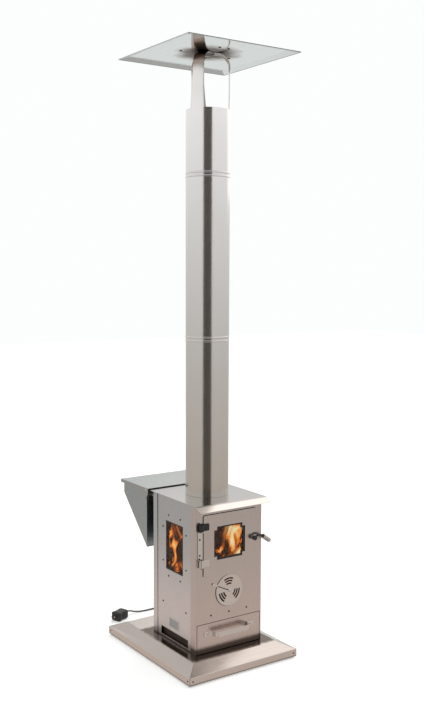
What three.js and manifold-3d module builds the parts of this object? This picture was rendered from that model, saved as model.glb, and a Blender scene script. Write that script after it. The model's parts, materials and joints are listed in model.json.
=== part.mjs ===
// A pellet-fed patio stove: a square firebox on a bevelled floor plinth, a hopper behind it,
// a sectional flue above it and a square heat deflector on top. Millimetres, +Z up.
// The shapes are laid out about the flue's axis, with the front towards -Y. The exported group
// is moved so that the origin is on the floor, at the middle of the stove's footprint.
import * as THREE from "three";
import { mergeVertices } from "three/addons/utils/BufferGeometryUtils.js";
import Module from "manifold-3d";

const wasm = await Module();
wasm.setup();

// ---- Driving dimensions -------------------------------------------------------------------

const GAP = 0.3; // left between pieces that touch
const SHEET = 1.5; // thickness of the folded sheet

const BASE = { half: 224, front: -235, rear: 321, lipBottom: 6, lipTop: 31.5, top: 55, bevel: 51, sheet: 2 };
const FOOT = { radius: 12, pad: 8.7, stud: 3, top: 17 };

const BODY = { half: 138, bottom: BASE.top + GAP, top: 571, frontFold: 31, rearFold: 26 };
const WALL = BODY.half - SHEET; // inner face of the front and rear sheets
const SIDE = WALL - GAP; // outer face of the side sheets, which slip inside the folds

const SIDE_WINDOW = { half: 55, bottom: 309, top: 483 };
const AIR_SLOT = { half: 88, bottom: 64, top: 92.5 };
const GLASS = 4;

const TOP = { half: 147, front: -150, rear: 147, z: 573, lipFront: -187, lipDrop: 14 };

const DOOR = { left: -108, right: 114, bottom: 322, top: 535, thick: 3, corner: 6, back: -BODY.half - GAP };
DOOR.face = DOOR.back - DOOR.thick;
const DOOR_OPENING = { left: -96, right: 88, bottom: 334, top: 523 };
const DOOR_WINDOW = { half: 65, bottom: 375, top: 491, notch: 12 };
const HINGE = { x: -121, y: -146.6, bottom: 384, top: 484, pin: 3, knuckle: 8, arm: 24 };
const LATCH = { x: 97.6, z: 431.4, shaft: 5, reach: 24 };

const REGISTER = { z: 260, radius: 55, lever: 155, first: 95, sector: 52, slots: [21, 30, 39], slot: 5.5 };
const DRAWER = { half: 131.5, bottom: BODY.bottom + SHEET + GAP, top: 157.3, handleZ: 123, pull: 28 };
const REVEAL = 1.8; // the gap round the drawer's front
const SHELF_Z = 160;

const HOPPER = { half: 143, front: 177, rear: 346, top: 575, knee: 527.5, bottom: 357, sheet: 1.2 };
const LID = { half: 150, front: 158, rear: 358, top: 577, flange: 12, sheet: 1.5, ear: 35 };
const LID_AXIS = { y: 169, z: 570, pin: 2.5 };
const NECK = { half: 45, bottom: 376, top: 454, wall: 2 };

const FLUE = { radius: 76.2, wall: 1, bead: 1.2, spigot: 40, joints: [1123, 1684], rim: 1904, bend: 2050 };
const STRAP = { width: 42, angles: [90, 210, 330], tab: 20 };
const DEFLECTOR = { half: 225, slope: 29, drop: 9, top: 2095.5, sheet: 1.2 };

const CORD = { radius: 3, exitX: 60, exitZ: 95, exitY: 172, sides: 8 };
const COIL = { x: 180, y: 420, radius: 36, column: 3, layers: 3 };
const PLUG = { x: -72, y: 452, turn: 203, length: 60, width: 44, height: 36 };

const ROUND = 36; // facets of a flue-sized circle
const SMALL = 12; // facets of a pin-sized circle

// ---- Solids -------------------------------------------------------------------------------

function signedVolume(p, triangles) {
  let sum = 0;
  const v = (i) => new THREE.Vector3(p[3 * i], p[3 * i + 1], p[3 * i + 2]);
  for (let i = 0; i < triangles.length; i += 3) {
    sum += v(triangles[i]).dot(v(triangles[i + 1]).cross(v(triangles[i + 2])));
  }
  return sum;
}

// A closed geometry as a solid, with its faces pointing out.
function solid(geometry) {
  const bare = geometry.clone();
  bare.deleteAttribute("normal");
  bare.deleteAttribute("uv");
  const merged = mergeVertices(bare, 1e-3);
  const positions = merged.attributes.position.array;
  const index = merged.index.array;
  const triangles = [];
  for (let i = 0; i < index.length; i += 3) {
    const [a, b, c] = index.slice(i, i + 3);
    if (a !== b && b !== c && c !== a) triangles.push(a, b, c);
  }
  if (signedVolume(positions, triangles) < 0) triangles.reverse();
  const triVerts = new Uint32Array(triangles);
  return new wasm.Manifold(new wasm.Mesh({ numProp: 3, vertProperties: positions, triVerts }));
}

function geometryOf(made) {
  const mesh = made.getMesh();
  const geometry = new THREE.BufferGeometry();
  geometry.setAttribute("position", new THREE.BufferAttribute(mesh.vertProperties, mesh.numProp));
  geometry.setIndex(new THREE.BufferAttribute(mesh.triVerts, 1));
  const flat = geometry.toNonIndexed();
  flat.computeVertexNormals();
  return flat;
}

// A block between two corners.
function block(x0, y0, z0, x1, y1, z1) {
  const box = new THREE.BoxGeometry(x1 - x0, y1 - y0, z1 - z0);
  return solid(box.translate((x0 + x1) / 2, (y0 + y1) / 2, (z0 + z1) / 2));
}

const FACING = {
  X: new THREE.Matrix4().makeBasis(vec(0, 1, 0), vec(0, 0, 1), vec(1, 0, 0)),
  Y: new THREE.Matrix4().makeBasis(vec(0, 0, 1), vec(1, 0, 0), vec(0, 1, 0)),
  Z: new THREE.Matrix4(),
};

function vec(x, y, z) {
  return new THREE.Vector3(x, y, z);
}

// An outline pushed along an axis. Its points are (y, z) along X, (z, x) along Y and (x, y) along Z.
function prism(outline, axis, from, to) {
  const points = (pairs) => pairs.map(([a, b]) => new THREE.Vector2(a, b));
  const shape = outline instanceof THREE.Shape ? outline : new THREE.Shape(points(outline));
  const options = { depth: to - from, bevelEnabled: false, curveSegments: 4 };
  const geometry = new THREE.ExtrudeGeometry(shape, options);
  return solid(geometry.translate(0, 0, from).applyMatrix4(FACING[axis]));
}

// A round bar along an axis, centred on the other two coordinates in the order of prism.
function bar(radius, axis, a, b, from, to, sides = SMALL) {
  const geometry = new THREE.CylinderGeometry(radius, radius, to - from, sides);
  geometry.rotateX(Math.PI / 2).translate(a, b, (from + to) / 2);
  return solid(geometry.applyMatrix4(FACING[axis]));
}

// A profile of (radius, height) pairs turned about Z. It closes on itself or on the axis.
function turned(profile, sides = ROUND) {
  const points = [...profile, profile[0]].map(([r, z]) => new THREE.Vector2(r, z));
  return solid(new THREE.LatheGeometry(points, sides).rotateX(Math.PI / 2));
}

// Rectangles stacked in Z, each [z, inset], joined by straight walls and capped.
function stack(levels, half, front, rear) {
  const positions = [];
  for (const [z, inset] of levels) {
    const x = half - inset;
    positions.push(-x, front + inset, z, x, front + inset, z, x, rear - inset, z, -x, rear - inset, z);
  }
  const last = 4 * (levels.length - 1);
  const index = [0, 2, 1, 0, 3, 2, last, last + 1, last + 2, last, last + 2, last + 3];
  for (let ring = 0; ring < last; ring += 4) {
    for (let i = 0; i < 4; i++) {
      const j = (i + 1) % 4;
      index.push(ring + i, ring + j, ring + j + 4, ring + i, ring + j + 4, ring + i + 4);
    }
  }
  const geometry = new THREE.BufferGeometry();
  geometry.setAttribute("position", new THREE.Float32BufferAttribute(positions, 3));
  geometry.setIndex(index);
  return solid(geometry);
}

// A flat strip bent along a line of points in a plane, as an outline of constant thickness.
function ribbon(points, thickness) {
  const line = points.map(([a, b]) => new THREE.Vector2(a, b));
  const side = (sign) =>
    line.map((p, i) => {
      const before = line[Math.max(i - 1, 0)];
      const after = line[Math.min(i + 1, line.length - 1)];
      const into = (i ? p.clone().sub(before) : after.clone().sub(p)).normalize();
      const out = (i < line.length - 1 ? after.clone().sub(p) : into.clone()).normalize();
      const bisector = into.clone().add(out).normalize();
      const mitre = thickness / 2 / bisector.dot(into);
      return [p.x - sign * bisector.y * mitre, p.y + sign * bisector.x * mitre];
    });
  return [...side(1), ...side(-1).reverse()];
}

function roundedOutline(x0, y0, x1, y1, r) {
  const shape = new THREE.Shape();
  shape.moveTo(x0 + r, y0).lineTo(x1 - r, y0);
  shape.absarc(x1 - r, y0 + r, r, -Math.PI / 2, 0);
  shape.absarc(x1 - r, y1 - r, r, 0, Math.PI / 2);
  shape.absarc(x0 + r, y1 - r, r, Math.PI / 2, Math.PI);
  shape.absarc(x0 + r, y0 + r, r, Math.PI, 1.5 * Math.PI);
  return shape;
}

// A sector of a ring in the plane across Y, between two radii, centred on an angle from +X to +Z.
function ringSector(inner, outer, centreDeg, spanDeg, z) {
  const steps = 4;
  const at = (radius, step) => {
    const angle = THREE.MathUtils.degToRad(centreDeg - spanDeg / 2 + (spanDeg * step) / steps);
    return [z + radius * Math.sin(angle), radius * Math.cos(angle)];
  };
  const arc = [...Array(steps + 1).keys()];
  return [...arc.map((s) => at(outer, s)), ...arc.reverse().map((s) => at(inner, s))];
}

function cutAll(body, tools) {
  return tools.reduce((left, tool) => left.subtract(tool), body);
}

function joinAll(parts) {
  return parts.reduce((made, part) => made.add(part));
}

// ---- Materials and pieces -----------------------------------------------------------------

const FINISHES = {
  steel: { color: 0xb9b3ae, roughness: 0.32, metalness: 1 },
  mirror: { color: 0xcfcfce, roughness: 0.12, metalness: 1 },
  flue: { color: 0xc4bdb6, roughness: 0.28, metalness: 1 },
  black: { color: 0x1c1b1a, roughness: 0.6, metalness: 0.2 },
  cast: { color: 0x2b2927, roughness: 0.8, metalness: 0.6 },
  glass: { color: 0x8a5a30, roughness: 0.05, metalness: 0, transparent: true, opacity: 0.35 },
  rubber: { color: 0x141414, roughness: 0.9, metalness: 0 },
  plastic: { color: 0x17181a, roughness: 0.5, metalness: 0 },
  cord: { color: 0x5d6063, roughness: 0.6, metalness: 0 },
  blade: { color: 0xc9c6c0, roughness: 0.25, metalness: 1 },
};

const stove = new THREE.Group();

function piece(name, made, finish) {
  const mesh = new THREE.Mesh(geometryOf(made), new THREE.MeshStandardMaterial(FINISHES[finish]));
  mesh.name = name;
  stove.add(mesh);
  return mesh;
}

// The same solid on the other side of the YZ plane.
function mirrored(made) {
  return made.mirror([1, 0, 0]);
}

// ---- Plinth -------------------------------------------------------------------------------

function plinth() {
  const { half, front, rear, lipBottom, lipTop, top, bevel, sheet } = BASE;
  const outside = stack([[lipBottom, 0], [lipTop, 0], [top, bevel]], half, front, rear);
  const hollow = [[lipBottom - 1, sheet], [lipTop - 1, sheet], [top - sheet, bevel + 1]];
  const inside = stack(hollow, half, front, rear);
  return outside.subtract(inside);
}

// A corner gusset that ties the lip together and carries a foot. It is made for the corner at
// the left and front and turned into the others by the signs of its sides.
function gusset(signX, signY, edgeY) {
  const inside = BASE.half - BASE.sheet - GAP;
  const wallY = Math.abs(edgeY) - BASE.sheet - GAP;
  const size = 44;
  const low = FOOT.pad + GAP;
  const x = [signX * (inside - size), signX * inside].sort((a, b) => a - b);
  const y = [signY * (wallY - size), signY * wallY].sort((a, b) => a - b);
  const ear = (end) => (end > 0 ? [end - 2, end] : [end, end + 2]);
  const earX = ear(signX * inside);
  const earY = ear(signY * wallY);
  const shelf = block(x[0], y[0], low, x[1], y[1], low + 3);
  const sideEar = block(earX[0], y[0], low, earX[1], y[1], BASE.lipTop - 3);
  const endEar = block(x[0], earY[0], low, x[1], earY[1], BASE.lipTop - 3);
  const hole = bar(FOOT.stud + GAP, "Z", signX * (inside - 20), signY * (wallY - 20), 0, 20, 12);
  return joinAll([shelf, sideEar, endEar]).subtract(hole);
}

function foot(x, y) {
  const { radius, pad, stud, top } = FOOT;
  const profile = [[0, 0], [radius - 1, 0], [radius, 1], [radius, pad], [stud, pad], [stud, top], [0, top]];
  return turned(profile, SMALL).translate([x, y, 0]);
}

function addPlinth() {
  piece("base_plinth", plinth(), "steel");
  const corners = { front_left: [-1, -1, BASE.front], front_right: [1, -1, BASE.front],
    rear_left: [-1, 1, BASE.rear], rear_right: [1, 1, BASE.rear] };
  for (const [corner, [signX, signY, edgeY]] of Object.entries(corners)) {
    const reachX = BASE.half - BASE.sheet - GAP - 20;
    const reachY = Math.abs(edgeY) - BASE.sheet - GAP - 20;
    piece("base_gusset_" + corner, gusset(signX, signY, edgeY), "steel");
    piece("foot_" + corner, foot(signX * reachX, signY * reachY), "rubber");
  }
}

// ---- Firebox ------------------------------------------------------------------------------

// A sheet across Y with both ends folded back over the side sheets. sign is -1 for the front.
function foldedSheet(sign, fold) {
  const { half, bottom, top } = BODY;
  const span = (a, b) => [Math.min(sign * a, sign * b), Math.max(sign * a, sign * b)];
  const [face0, face1] = span(WALL, half);
  const [fold0, fold1] = span(half - fold, half);
  return joinAll([
    block(-half, face0, bottom, half, face1, top - GAP),
    block(-half, fold0, bottom, -WALL, fold1, top - GAP),
    block(WALL, fold0, bottom, half, fold1, top - GAP),
  ]);
}

function frontSheet() {
  const open = DOOR_OPENING;
  const past = [-BODY.half - 5, -WALL + 5];
  const door = prism(roundedOutline(open.bottom, open.left, open.top, open.right, 4), "Y", ...past);
  const notch = 8;
  const [notchLow, notchHigh] = [LATCH.z - notch, LATCH.z + notch];
  const shaftNotch = block(open.right - 5, past[0], notchLow, LATCH.x + notch, past[1], notchHigh);
  const drawerHalf = DRAWER.half + REVEAL;
  const drawer = block(-drawerHalf, past[0], 0, drawerHalf, past[1], DRAWER.top + REVEAL);
  const rivet = bar(3 + GAP, "Y", REGISTER.z, 0, ...past);
  const vents = [0, 120, 240].map((turn) =>
    prism(ringSector(20, 46, REGISTER.first + turn, REGISTER.sector, REGISTER.z), "Y", ...past));
  return cutAll(foldedSheet(-1, BODY.frontFold), [door, shaftNotch, drawer, rivet, ...vents]);
}

function rearSheet() {
  const past = [WALL - 5, BODY.half + 5];
  const neck = block(-NECK.half - GAP, past[0], NECK.bottom - GAP, NECK.half + GAP, past[1], NECK.top + GAP);
  const gland = bar(8, "Y", CORD.exitZ, CORD.exitX, ...past);
  return cutAll(foldedSheet(1, BODY.rearFold), [neck, gland]);
}

function leftSheet() {
  const w = SIDE_WINDOW;
  const past = [-SIDE - 5, -SIDE + SHEET + 5];
  const panel = block(-SIDE, -SIDE, BODY.bottom, -SIDE + SHEET, SIDE, BODY.top - GAP);
  const window = block(past[0], -w.half, w.bottom, past[1], w.half, w.top);
  const slot = block(past[0], -AIR_SLOT.half, AIR_SLOT.bottom, past[1], AIR_SLOT.half, AIR_SLOT.top);
  return cutAll(panel, [window, slot]);
}

const LEFT_INSIDE = -SIDE + SHEET + GAP; // where the left window's glass starts

function leftGlass() {
  const w = SIDE_WINDOW;
  return block(LEFT_INSIDE, -w.half - 11, w.bottom - 11, LEFT_INSIDE + GLASS, w.half + 11, w.top + 11);
}

// The frame that presses a window's glass against the sheet from inside.
function leftRetainer() {
  const w = SIDE_WINDOW;
  const [rim, bed] = [29, 11 + GAP]; // how far the frame and the glass's bed reach past the window
  const back = LEFT_INSIDE + GLASS;
  const frame = block(LEFT_INSIDE, -w.half - rim, w.bottom - rim, back + 2, w.half + rim, w.top + rim);
  const pocket = block(LEFT_INSIDE - 1, -w.half - bed, w.bottom - bed, back + GAP, w.half + bed, w.top + bed);
  const view = block(LEFT_INSIDE - 1, -w.half, w.bottom, LEFT_INSIDE + 20, w.half, w.top);
  return cutAll(frame, [pocket, view]);
}

function floorPlate() {
  const inside = SIDE - SHEET - GAP;
  return block(-inside, -WALL + GAP, BODY.bottom, inside, WALL - GAP, BODY.bottom + SHEET);
}

const POT = { half: 45, y: 5, bottom: 150, rim: SHELF_Z + SHEET + GAP, top: 200, wall: 3 };

function shelf() {
  const inside = SIDE - SHEET - GAP;
  const plate = block(-inside, -WALL + GAP, SHELF_Z, inside, WALL - GAP, SHELF_Z + SHEET);
  const hole = POT.half + GAP;
  return plate.subtract(block(-hole, POT.y - hole, 0, hole, POT.y + hole, 300));
}

// The pot that the pellets burn in: an open box with a hanging rim and air slots in its floor.
function burnPot() {
  const { half, y, bottom, rim, top, wall } = POT;
  const box = block(-half, y - half, bottom, half, y + half, top);
  const flange = block(-half - 10, y - half - 10, rim, half + 10, y + half + 10, rim + 3);
  const inner = half - wall;
  const cavity = block(-inner, y - inner, bottom + wall, inner, y + inner, top + 1);
  const floor = bottom + wall + 1;
  const slots = [-30, -18, -6, 6, 18, 30].map((x) => block(x - 2, y - 32, 0, x + 2, y + 32, floor));
  return cutAll(box.add(flange), [cavity, ...slots]);
}

function topPlate() {
  const { half, front, rear, z, lipFront, lipDrop } = TOP;
  const outline = [[rear, z], [front, z], [lipFront, z - lipDrop], [lipFront + 0.6, z - lipDrop - 1.4],
    [front + 0.3, z - SHEET], [rear, z - SHEET]];
  const hole = bar(FLUE.radius - FLUE.wall, "Z", 0, 0, z - 20, z + 20, ROUND);
  return prism(outline, "X", -half, half).subtract(hole);
}

// The spigot that the flue stands over, with its flange under the top plate.
function flueCollar() {
  const outer = FLUE.radius - FLUE.wall - GAP;
  const under = TOP.z - SHEET - GAP;
  return turned([[outer - 1.5, under - 2], [outer + 16, under - 2], [outer + 16, under], [outer, under],
    [outer, TOP.z + 40], [outer - 1.5, TOP.z + 40]]);
}

// The box inside the rear sheet that lights the pellets and takes the mains lead.
function igniterHousing() {
  return block(CORD.exitX - 32, 110, 66, CORD.exitX + 32, WALL - 6, 132);
}

function addFirebox() {
  piece("front_sheet", frontSheet(), "steel");
  piece("rear_sheet", rearSheet(), "steel");
  piece("side_sheet_left", leftSheet(), "steel");
  piece("side_sheet_right", mirrored(leftSheet()), "steel");
  piece("side_glass_left", leftGlass(), "glass");
  piece("side_glass_right", mirrored(leftGlass()), "glass");
  piece("glass_retainer_left", leftRetainer(), "steel");
  piece("glass_retainer_right", mirrored(leftRetainer()), "steel");
  piece("floor_plate", floorPlate(), "steel");
  piece("firebox_shelf", shelf(), "steel");
  piece("burn_pot", burnPot(), "cast");
  piece("top_plate", topPlate(), "steel");
  piece("flue_collar", flueCollar(), "steel");
  piece("igniter_housing", igniterHousing(), "black");
}

// ---- Door ---------------------------------------------------------------------------------

// The window's outline with a square notch at each corner, in (z, x) pairs.
function notchedWindow() {
  const { half, bottom, top, notch } = DOOR_WINDOW;
  const corner = (z, x, toZ, toX) => {
    const [inZ, inX] = [z + toZ * notch, x + toX * notch];
    return [[inZ, x], [inZ, inX], [z, inX]];
  };
  return [
    ...corner(bottom, -half, 1, 1),
    ...corner(bottom, half, 1, -1).reverse(),
    ...corner(top, half, -1, -1),
    ...corner(top, -half, -1, 1).reverse(),
  ];
}

function doorPanel() {
  const { left, right, bottom, top, corner, face, back } = DOOR;
  const plate = prism(roundedOutline(bottom, left, top, right, corner), "Y", face, back);
  const window = prism(notchedWindow(), "Y", face - 1, back + 1);
  const shaft = bar(LATCH.shaft + GAP, "Y", LATCH.z, LATCH.x, face - 1, back + 1);
  return cutAll(plate, [window, shaft]);
}

function doorGlass() {
  const { half, bottom, top } = DOOR_WINDOW;
  const front = DOOR.back + GAP;
  return block(-half - 3, front, bottom - 8, half + 3, front + GLASS, top + 8);
}

function doorRetainer() {
  const { half, bottom, top } = DOOR_WINDOW;
  const front = DOOR.back + GAP;
  const [bedX, bedZ] = [3 + GAP, 8 + GAP]; // how far the glass's bed reaches past the window
  const back = front + GLASS;
  const frame = block(-half - 7, front, bottom - 15, half + 7, back + 2.2, top + 15);
  const pocket = block(-half - bedX, front - 1, bottom - bedZ, half + bedX, back + GAP, top + bedZ);
  const view = block(-half + 7, front - 1, bottom + 5, half - 7, front + 20, top - 5);
  return cutAll(frame, [pocket, view]);
}

// The fixed strip of the hinge, with an ear at each end that holds a pin.
function hingePlate() {
  const back = -BODY.half - GAP;
  const strip = block(HINGE.x - 10, back - 2, HINGE.bottom, HINGE.x + 10, back, HINGE.top);
  const ear = (z) => block(HINGE.x - 8, HINGE.y - 7, z, HINGE.x + 8, back, z + 2.5);
  const hole = bar(HINGE.pin + GAP, "Z", HINGE.x, HINGE.y, HINGE.bottom - 9, HINGE.top + 9);
  return joinAll([strip, ear(HINGE.bottom), ear(HINGE.top - 2.5)]).subtract(hole);
}

// A hinge arm on the door: a knuckle round the pin and a tab flat on the door's face.
function hingeArm(from, to) {
  const face = DOOR.face - GAP;
  const knuckle = bar(HINGE.knuckle, "Z", HINGE.x, HINGE.y, from, to);
  const tab = block(HINGE.x, face - 3, from, HINGE.x + 34, face, to);
  return knuckle.add(tab).subtract(bar(HINGE.pin + GAP, "Z", HINGE.x, HINGE.y, from - 1, to + 1));
}

// A headed pin standing on Z, its head at the first height.
function hingePin(head, tip) {
  const thick = head > tip ? 2.5 : -2.5;
  const [low, high] = [Math.min(head, tip), Math.max(head, tip)];
  const cap = [Math.min(head, head + thick), Math.max(head, head + thick)];
  return bar(HINGE.pin, "Z", HINGE.x, HINGE.y, low, high).add(bar(5, "Z", HINGE.x, HINGE.y, ...cap));
}

const HUB = { front: -160, back: -148, radius: 8 };

function latchShaft() {
  return bar(LATCH.shaft, "Y", LATCH.z, LATCH.x, HUB.front + 1, -131);
}

// The tongue lies inside the door's opening at rest and turns behind the front sheet to lock.
function latchTongue() {
  const front = -WALL + 0.7;
  const { x, z, reach } = LATCH;
  const plate = prism(roundedOutline(z - 7, x - reach, z + 7, x + 7, 6.5), "Y", front, front + 3);
  return plate.subtract(bar(LATCH.shaft + GAP, "Y", LATCH.z, LATCH.x, front - 1, front + 4));
}

const ARM_Y = (HUB.front + HUB.back) / 2;
const ARM_ROUTE = [[5, 4], [13, 8], [24, 7], [34, 3], [50, -8]]; // (x, z) from the shaft
const armCurve = new THREE.CatmullRomCurve3(ARM_ROUTE.map(([x, z]) => vec(LATCH.x + x, ARM_Y, LATCH.z + z)));

// A round section of so many sides, pushed along a curve.
function tubeAlong(curve, radius, sides, steps) {
  const ring = [...Array(sides).keys()].map((i) => {
    const angle = (2 * Math.PI * i) / sides;
    return new THREE.Vector2(radius * Math.cos(angle), radius * Math.sin(angle));
  });
  const options = { extrudePath: curve, steps, bevelEnabled: false };
  return solid(new THREE.ExtrudeGeometry(new THREE.Shape(ring), options));
}

function handleArm() {
  const hub = bar(HUB.radius, "Y", LATCH.z, LATCH.x, HUB.front, HUB.back);
  const made = hub.add(tubeAlong(armCurve, 3.5, 10, 14));
  return made.subtract(bar(LATCH.shaft + GAP, "Y", LATCH.z, LATCH.x, HUB.front + 1 - GAP, HUB.back + 10));
}

// The ribbed grip slides over the last part of the arm.
function handleGrip() {
  const end = armCurve.getPointAt(1);
  const start = armCurve.getPointAt(0.62);
  const along = end.clone().sub(start).normalize();
  const length = 34;
  const bore = 6;
  const ribs = 7;
  const profile = [[bore, 0], [7.5, 0]];
  for (let i = 0; i < ribs; i++) {
    const z = ((i + 0.5) * length) / ribs;
    profile.push([8.6, z], [7.6, z + length / ribs / 2]);
  }
  profile.push([6, length + 3], [0, length + 4], [0, length], [bore, length]);
  const tilt = new THREE.Quaternion().setFromUnitVectors(vec(0, 0, 1), along);
  const turn = new THREE.Matrix4().makeRotationFromQuaternion(tilt).setPosition(start);
  const made = turned(profile, SMALL);
  return made.transform(turn.elements);
}

function addDoor() {
  const { top, bottom, arm } = HINGE;
  piece("door_panel", doorPanel(), "steel");
  piece("door_glass", doorGlass(), "glass");
  piece("door_glass_retainer", doorRetainer(), "steel");
  piece("hinge_plate", hingePlate(), "steel");
  piece("hinge_arm_upper", hingeArm(top + GAP, top + GAP + arm), "black");
  piece("hinge_arm_lower", hingeArm(bottom - GAP - arm, bottom - GAP), "steel");
  piece("hinge_pin_upper", hingePin(top + 2 * GAP + arm, top - 6), "black");
  piece("hinge_pin_lower", hingePin(bottom - 2 * GAP - arm, bottom + 6), "black");
  piece("latch_shaft", latchShaft(), "steel");
  piece("latch_tongue", latchTongue(), "steel");
  piece("handle_arm", handleArm(), "black");
  piece("handle_grip", handleGrip(), "steel");
}

// ---- Air register -------------------------------------------------------------------------

function registerDisc() {
  const back = -BODY.half - 0.5;
  const face = back - SHEET;
  const disc = bar(REGISTER.radius, "Y", REGISTER.z, 0, face, back, ROUND);
  const lever = block(9, face - SHEET, -4, 78, face + 0.2, 4)
    .add(block(REGISTER.radius - 3, face - 0.1, -4, 78, back, 4))
    .rotate([0, -REGISTER.lever, 0])
    .translate([0, 0, REGISTER.z]);
  const { first, sector, z } = REGISTER;
  const slot = (r, turn) => ringSector(r, r + REGISTER.slot, first + turn, sector, z);
  const slots = [0, 120, 240].flatMap((turn) =>
    REGISTER.slots.map((r) => prism(slot(r, turn), "Y", face - 1, back + 1)));
  const bore = bar(3 + GAP, "Y", REGISTER.z, 0, face - 5, back + 5);
  return cutAll(disc.add(lever), [...slots, bore]);
}

function registerRivet() {
  const face = -BODY.half - 0.5 - SHEET;
  return joinAll([
    bar(3, "Y", REGISTER.z, 0, face - 1.5, -WALL + 1.5),
    bar(6, "Y", REGISTER.z, 0, face - 2.3, face - GAP),
    bar(6, "Y", REGISTER.z, 0, -WALL + GAP, -WALL + 2),
  ]);
}

function addRegister() {
  piece("air_register_disc", registerDisc(), "steel");
  piece("air_register_rivet", registerRivet(), "steel");
}

// ---- Ash drawer ---------------------------------------------------------------------------

function drawerFront() {
  return block(-DRAWER.half, -BODY.half - 0.5, DRAWER.bottom, DRAWER.half, -WALL, DRAWER.top);
}

function ashTray() {
  const front = -WALL + GAP;
  const [half, rear, top] = [128, 105, 140];
  const tray = block(-half, front, DRAWER.bottom, half, rear, top);
  const inner = half - SHEET;
  return tray.subtract(block(-inner, front + SHEET, DRAWER.bottom + SHEET, inner, rear - SHEET, top + 10));
}

function drawerHandle() {
  const back = -BODY.half - 0.5 - GAP - 1;
  const out = back - DRAWER.pull;
  const line = [[-104, back], [-82, back], [-75, back - 5], [-68, out + 5], [-58, out]];
  const whole = [...line, ...line.map(([x, y]) => [-x, y]).reverse()];
  return prism(ribbon(whole, 2), "Z", DRAWER.handleZ - 8.5, DRAWER.handleZ + 8.5);
}

function addDrawer() {
  piece("drawer_front", drawerFront(), "steel");
  piece("ash_tray", ashTray(), "steel");
  piece("drawer_handle", drawerHandle(), "steel");
}

// ---- Hopper -------------------------------------------------------------------------------

// The hopper's side view in (y, z) pairs, drawn in by a distance.
function hopperOutline(inset, top) {
  const { front, rear, knee, bottom } = HOPPER;
  const slope = inset * (Math.SQRT2 - 1);
  const nose = [front + inset, bottom + inset + slope];
  return [[front + inset, top], nose, [rear - inset, knee + slope], [rear - inset, top]];
}

function hopperShell() {
  const { half, sheet, front, top } = HOPPER;
  const outside = prism(hopperOutline(0, top), "X", -half, half);
  const inside = prism(hopperOutline(sheet, top + 5), "X", -half + sheet, half - sheet);
  const neckHalf = NECK.half + GAP;
  const throat = block(-neckHalf, front - 5, NECK.bottom - GAP, neckHalf, front + 5, NECK.top + GAP);
  const ear = (x) => bar(5.2, "X", LID_AXIS.y, LID_AXIS.z, x, x + sheet)
    .add(block(x, LID_AXIS.y, LID_AXIS.z - 5, x + sheet, front + 2, top - 0.2));
  const pins = bar(LID_AXIS.pin + GAP, "X", LID_AXIS.y, LID_AXIS.z, -half - 5, half + 5);
  return cutAll(joinAll([outside.subtract(inside), ear(-half), ear(half - sheet)]), [throat, pins]);
}

// A side flange of the lid in (y, z) pairs: a strip with a rounded ear over its pin.
function lidFlange() {
  const { front, rear, top, flange, ear } = LID;
  const low = top - flange;
  const arc = [...Array(7).keys()].map((i) => {
    const angle = (Math.PI / 2) * (i / 6);
    return [HOPPER.front + ear * Math.cos(angle), low - (ear - 4) * Math.sin(angle)];
  });
  return [[front, top], [rear, top], [rear, low], ...arc, [front + 3, low - 14], [front, low]];
}

function hopperLid() {
  const { half, front, rear, top, flange, sheet } = LID;
  const plate = block(-half, front, top - sheet, half, rear, top);
  const rearFlange = block(-half, rear - sheet, top - flange, half, rear, top);
  const sides = [-half, half - sheet].map((x) => prism(lidFlange(), "X", x, x + sheet));
  const pins = bar(LID_AXIS.pin + GAP, "X", LID_AXIS.y, LID_AXIS.z, -half - 5, half + 5);
  return joinAll([plate, rearFlange, ...sides]).subtract(pins);
}

function leftLidPin() {
  const { y, z, pin } = LID_AXIS;
  const outside = -LID.half - GAP;
  return bar(pin, "X", y, z, outside, -HOPPER.half + 3).add(bar(4.5, "X", y, z, outside - 2, outside));
}

// The duct that feeds the pellets from the hopper into the firebox, with a flange at each wall.
function feedNeck() {
  const { half, bottom, top, wall } = NECK;
  const near = BODY.half + GAP;
  const far = HOPPER.front - GAP;
  const flange = (y) => block(-half - 13, y, bottom - 13, half + 13, y + 2, top + 13);
  const duct = block(-half, BODY.half - 10, bottom, half, HOPPER.front + HOPPER.sheet, top);
  const bore = block(-half + wall, 0, bottom + wall, half - wall, 400, top - wall);
  return joinAll([duct, flange(near), flange(far - 2)]).subtract(bore);
}

// A bent bracket that hangs the hopper from the firebox's rear sheet.
function leftHanger() {
  const near = BODY.half + GAP;
  const far = HOPPER.front - GAP;
  const line = [[near + 1, 533], [near + 1, 552], [far - 1, 552], [far - 1, 533]];
  return prism(ribbon(line, 2), "X", -BODY.half + 1, -BODY.half + 21);
}

function addHopper() {
  piece("hopper_shell", hopperShell(), "steel");
  piece("hopper_lid", hopperLid(), "steel");
  piece("lid_pin_left", leftLidPin(), "steel");
  piece("lid_pin_right", mirrored(leftLidPin()), "steel");
  piece("feed_neck", feedNeck(), "black");
  piece("hopper_hanger_left", leftHanger(), "steel");
  piece("hopper_hanger_right", mirrored(leftHanger()), "steel");
}

// ---- Flue and deflector -------------------------------------------------------------------

// Half of a round bead on the outside of the flue, centred on a height.
function bead(z) {
  return [[FLUE.radius, z - 2.5], [FLUE.radius + FLUE.bead, z], [FLUE.radius, z + 2.5]];
}

// A flue section with a bead at each jointed end and a crimped spigot that enters the next one.
function flueSection(from, to, jointedBelow) {
  const { radius, wall, spigot } = FLUE;
  const narrow = radius - wall - GAP;
  return turned([
    [radius, from],
    ...(jointedBelow ? bead(from + 6) : []),
    ...bead(to - 6),
    [radius, to],
    [narrow, to],
    [narrow, to + spigot],
    [narrow - wall, to + spigot],
    [narrow - wall, to - 4],
    [radius - wall, to - 8],
    [radius - wall, from],
  ]);
}

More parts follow.
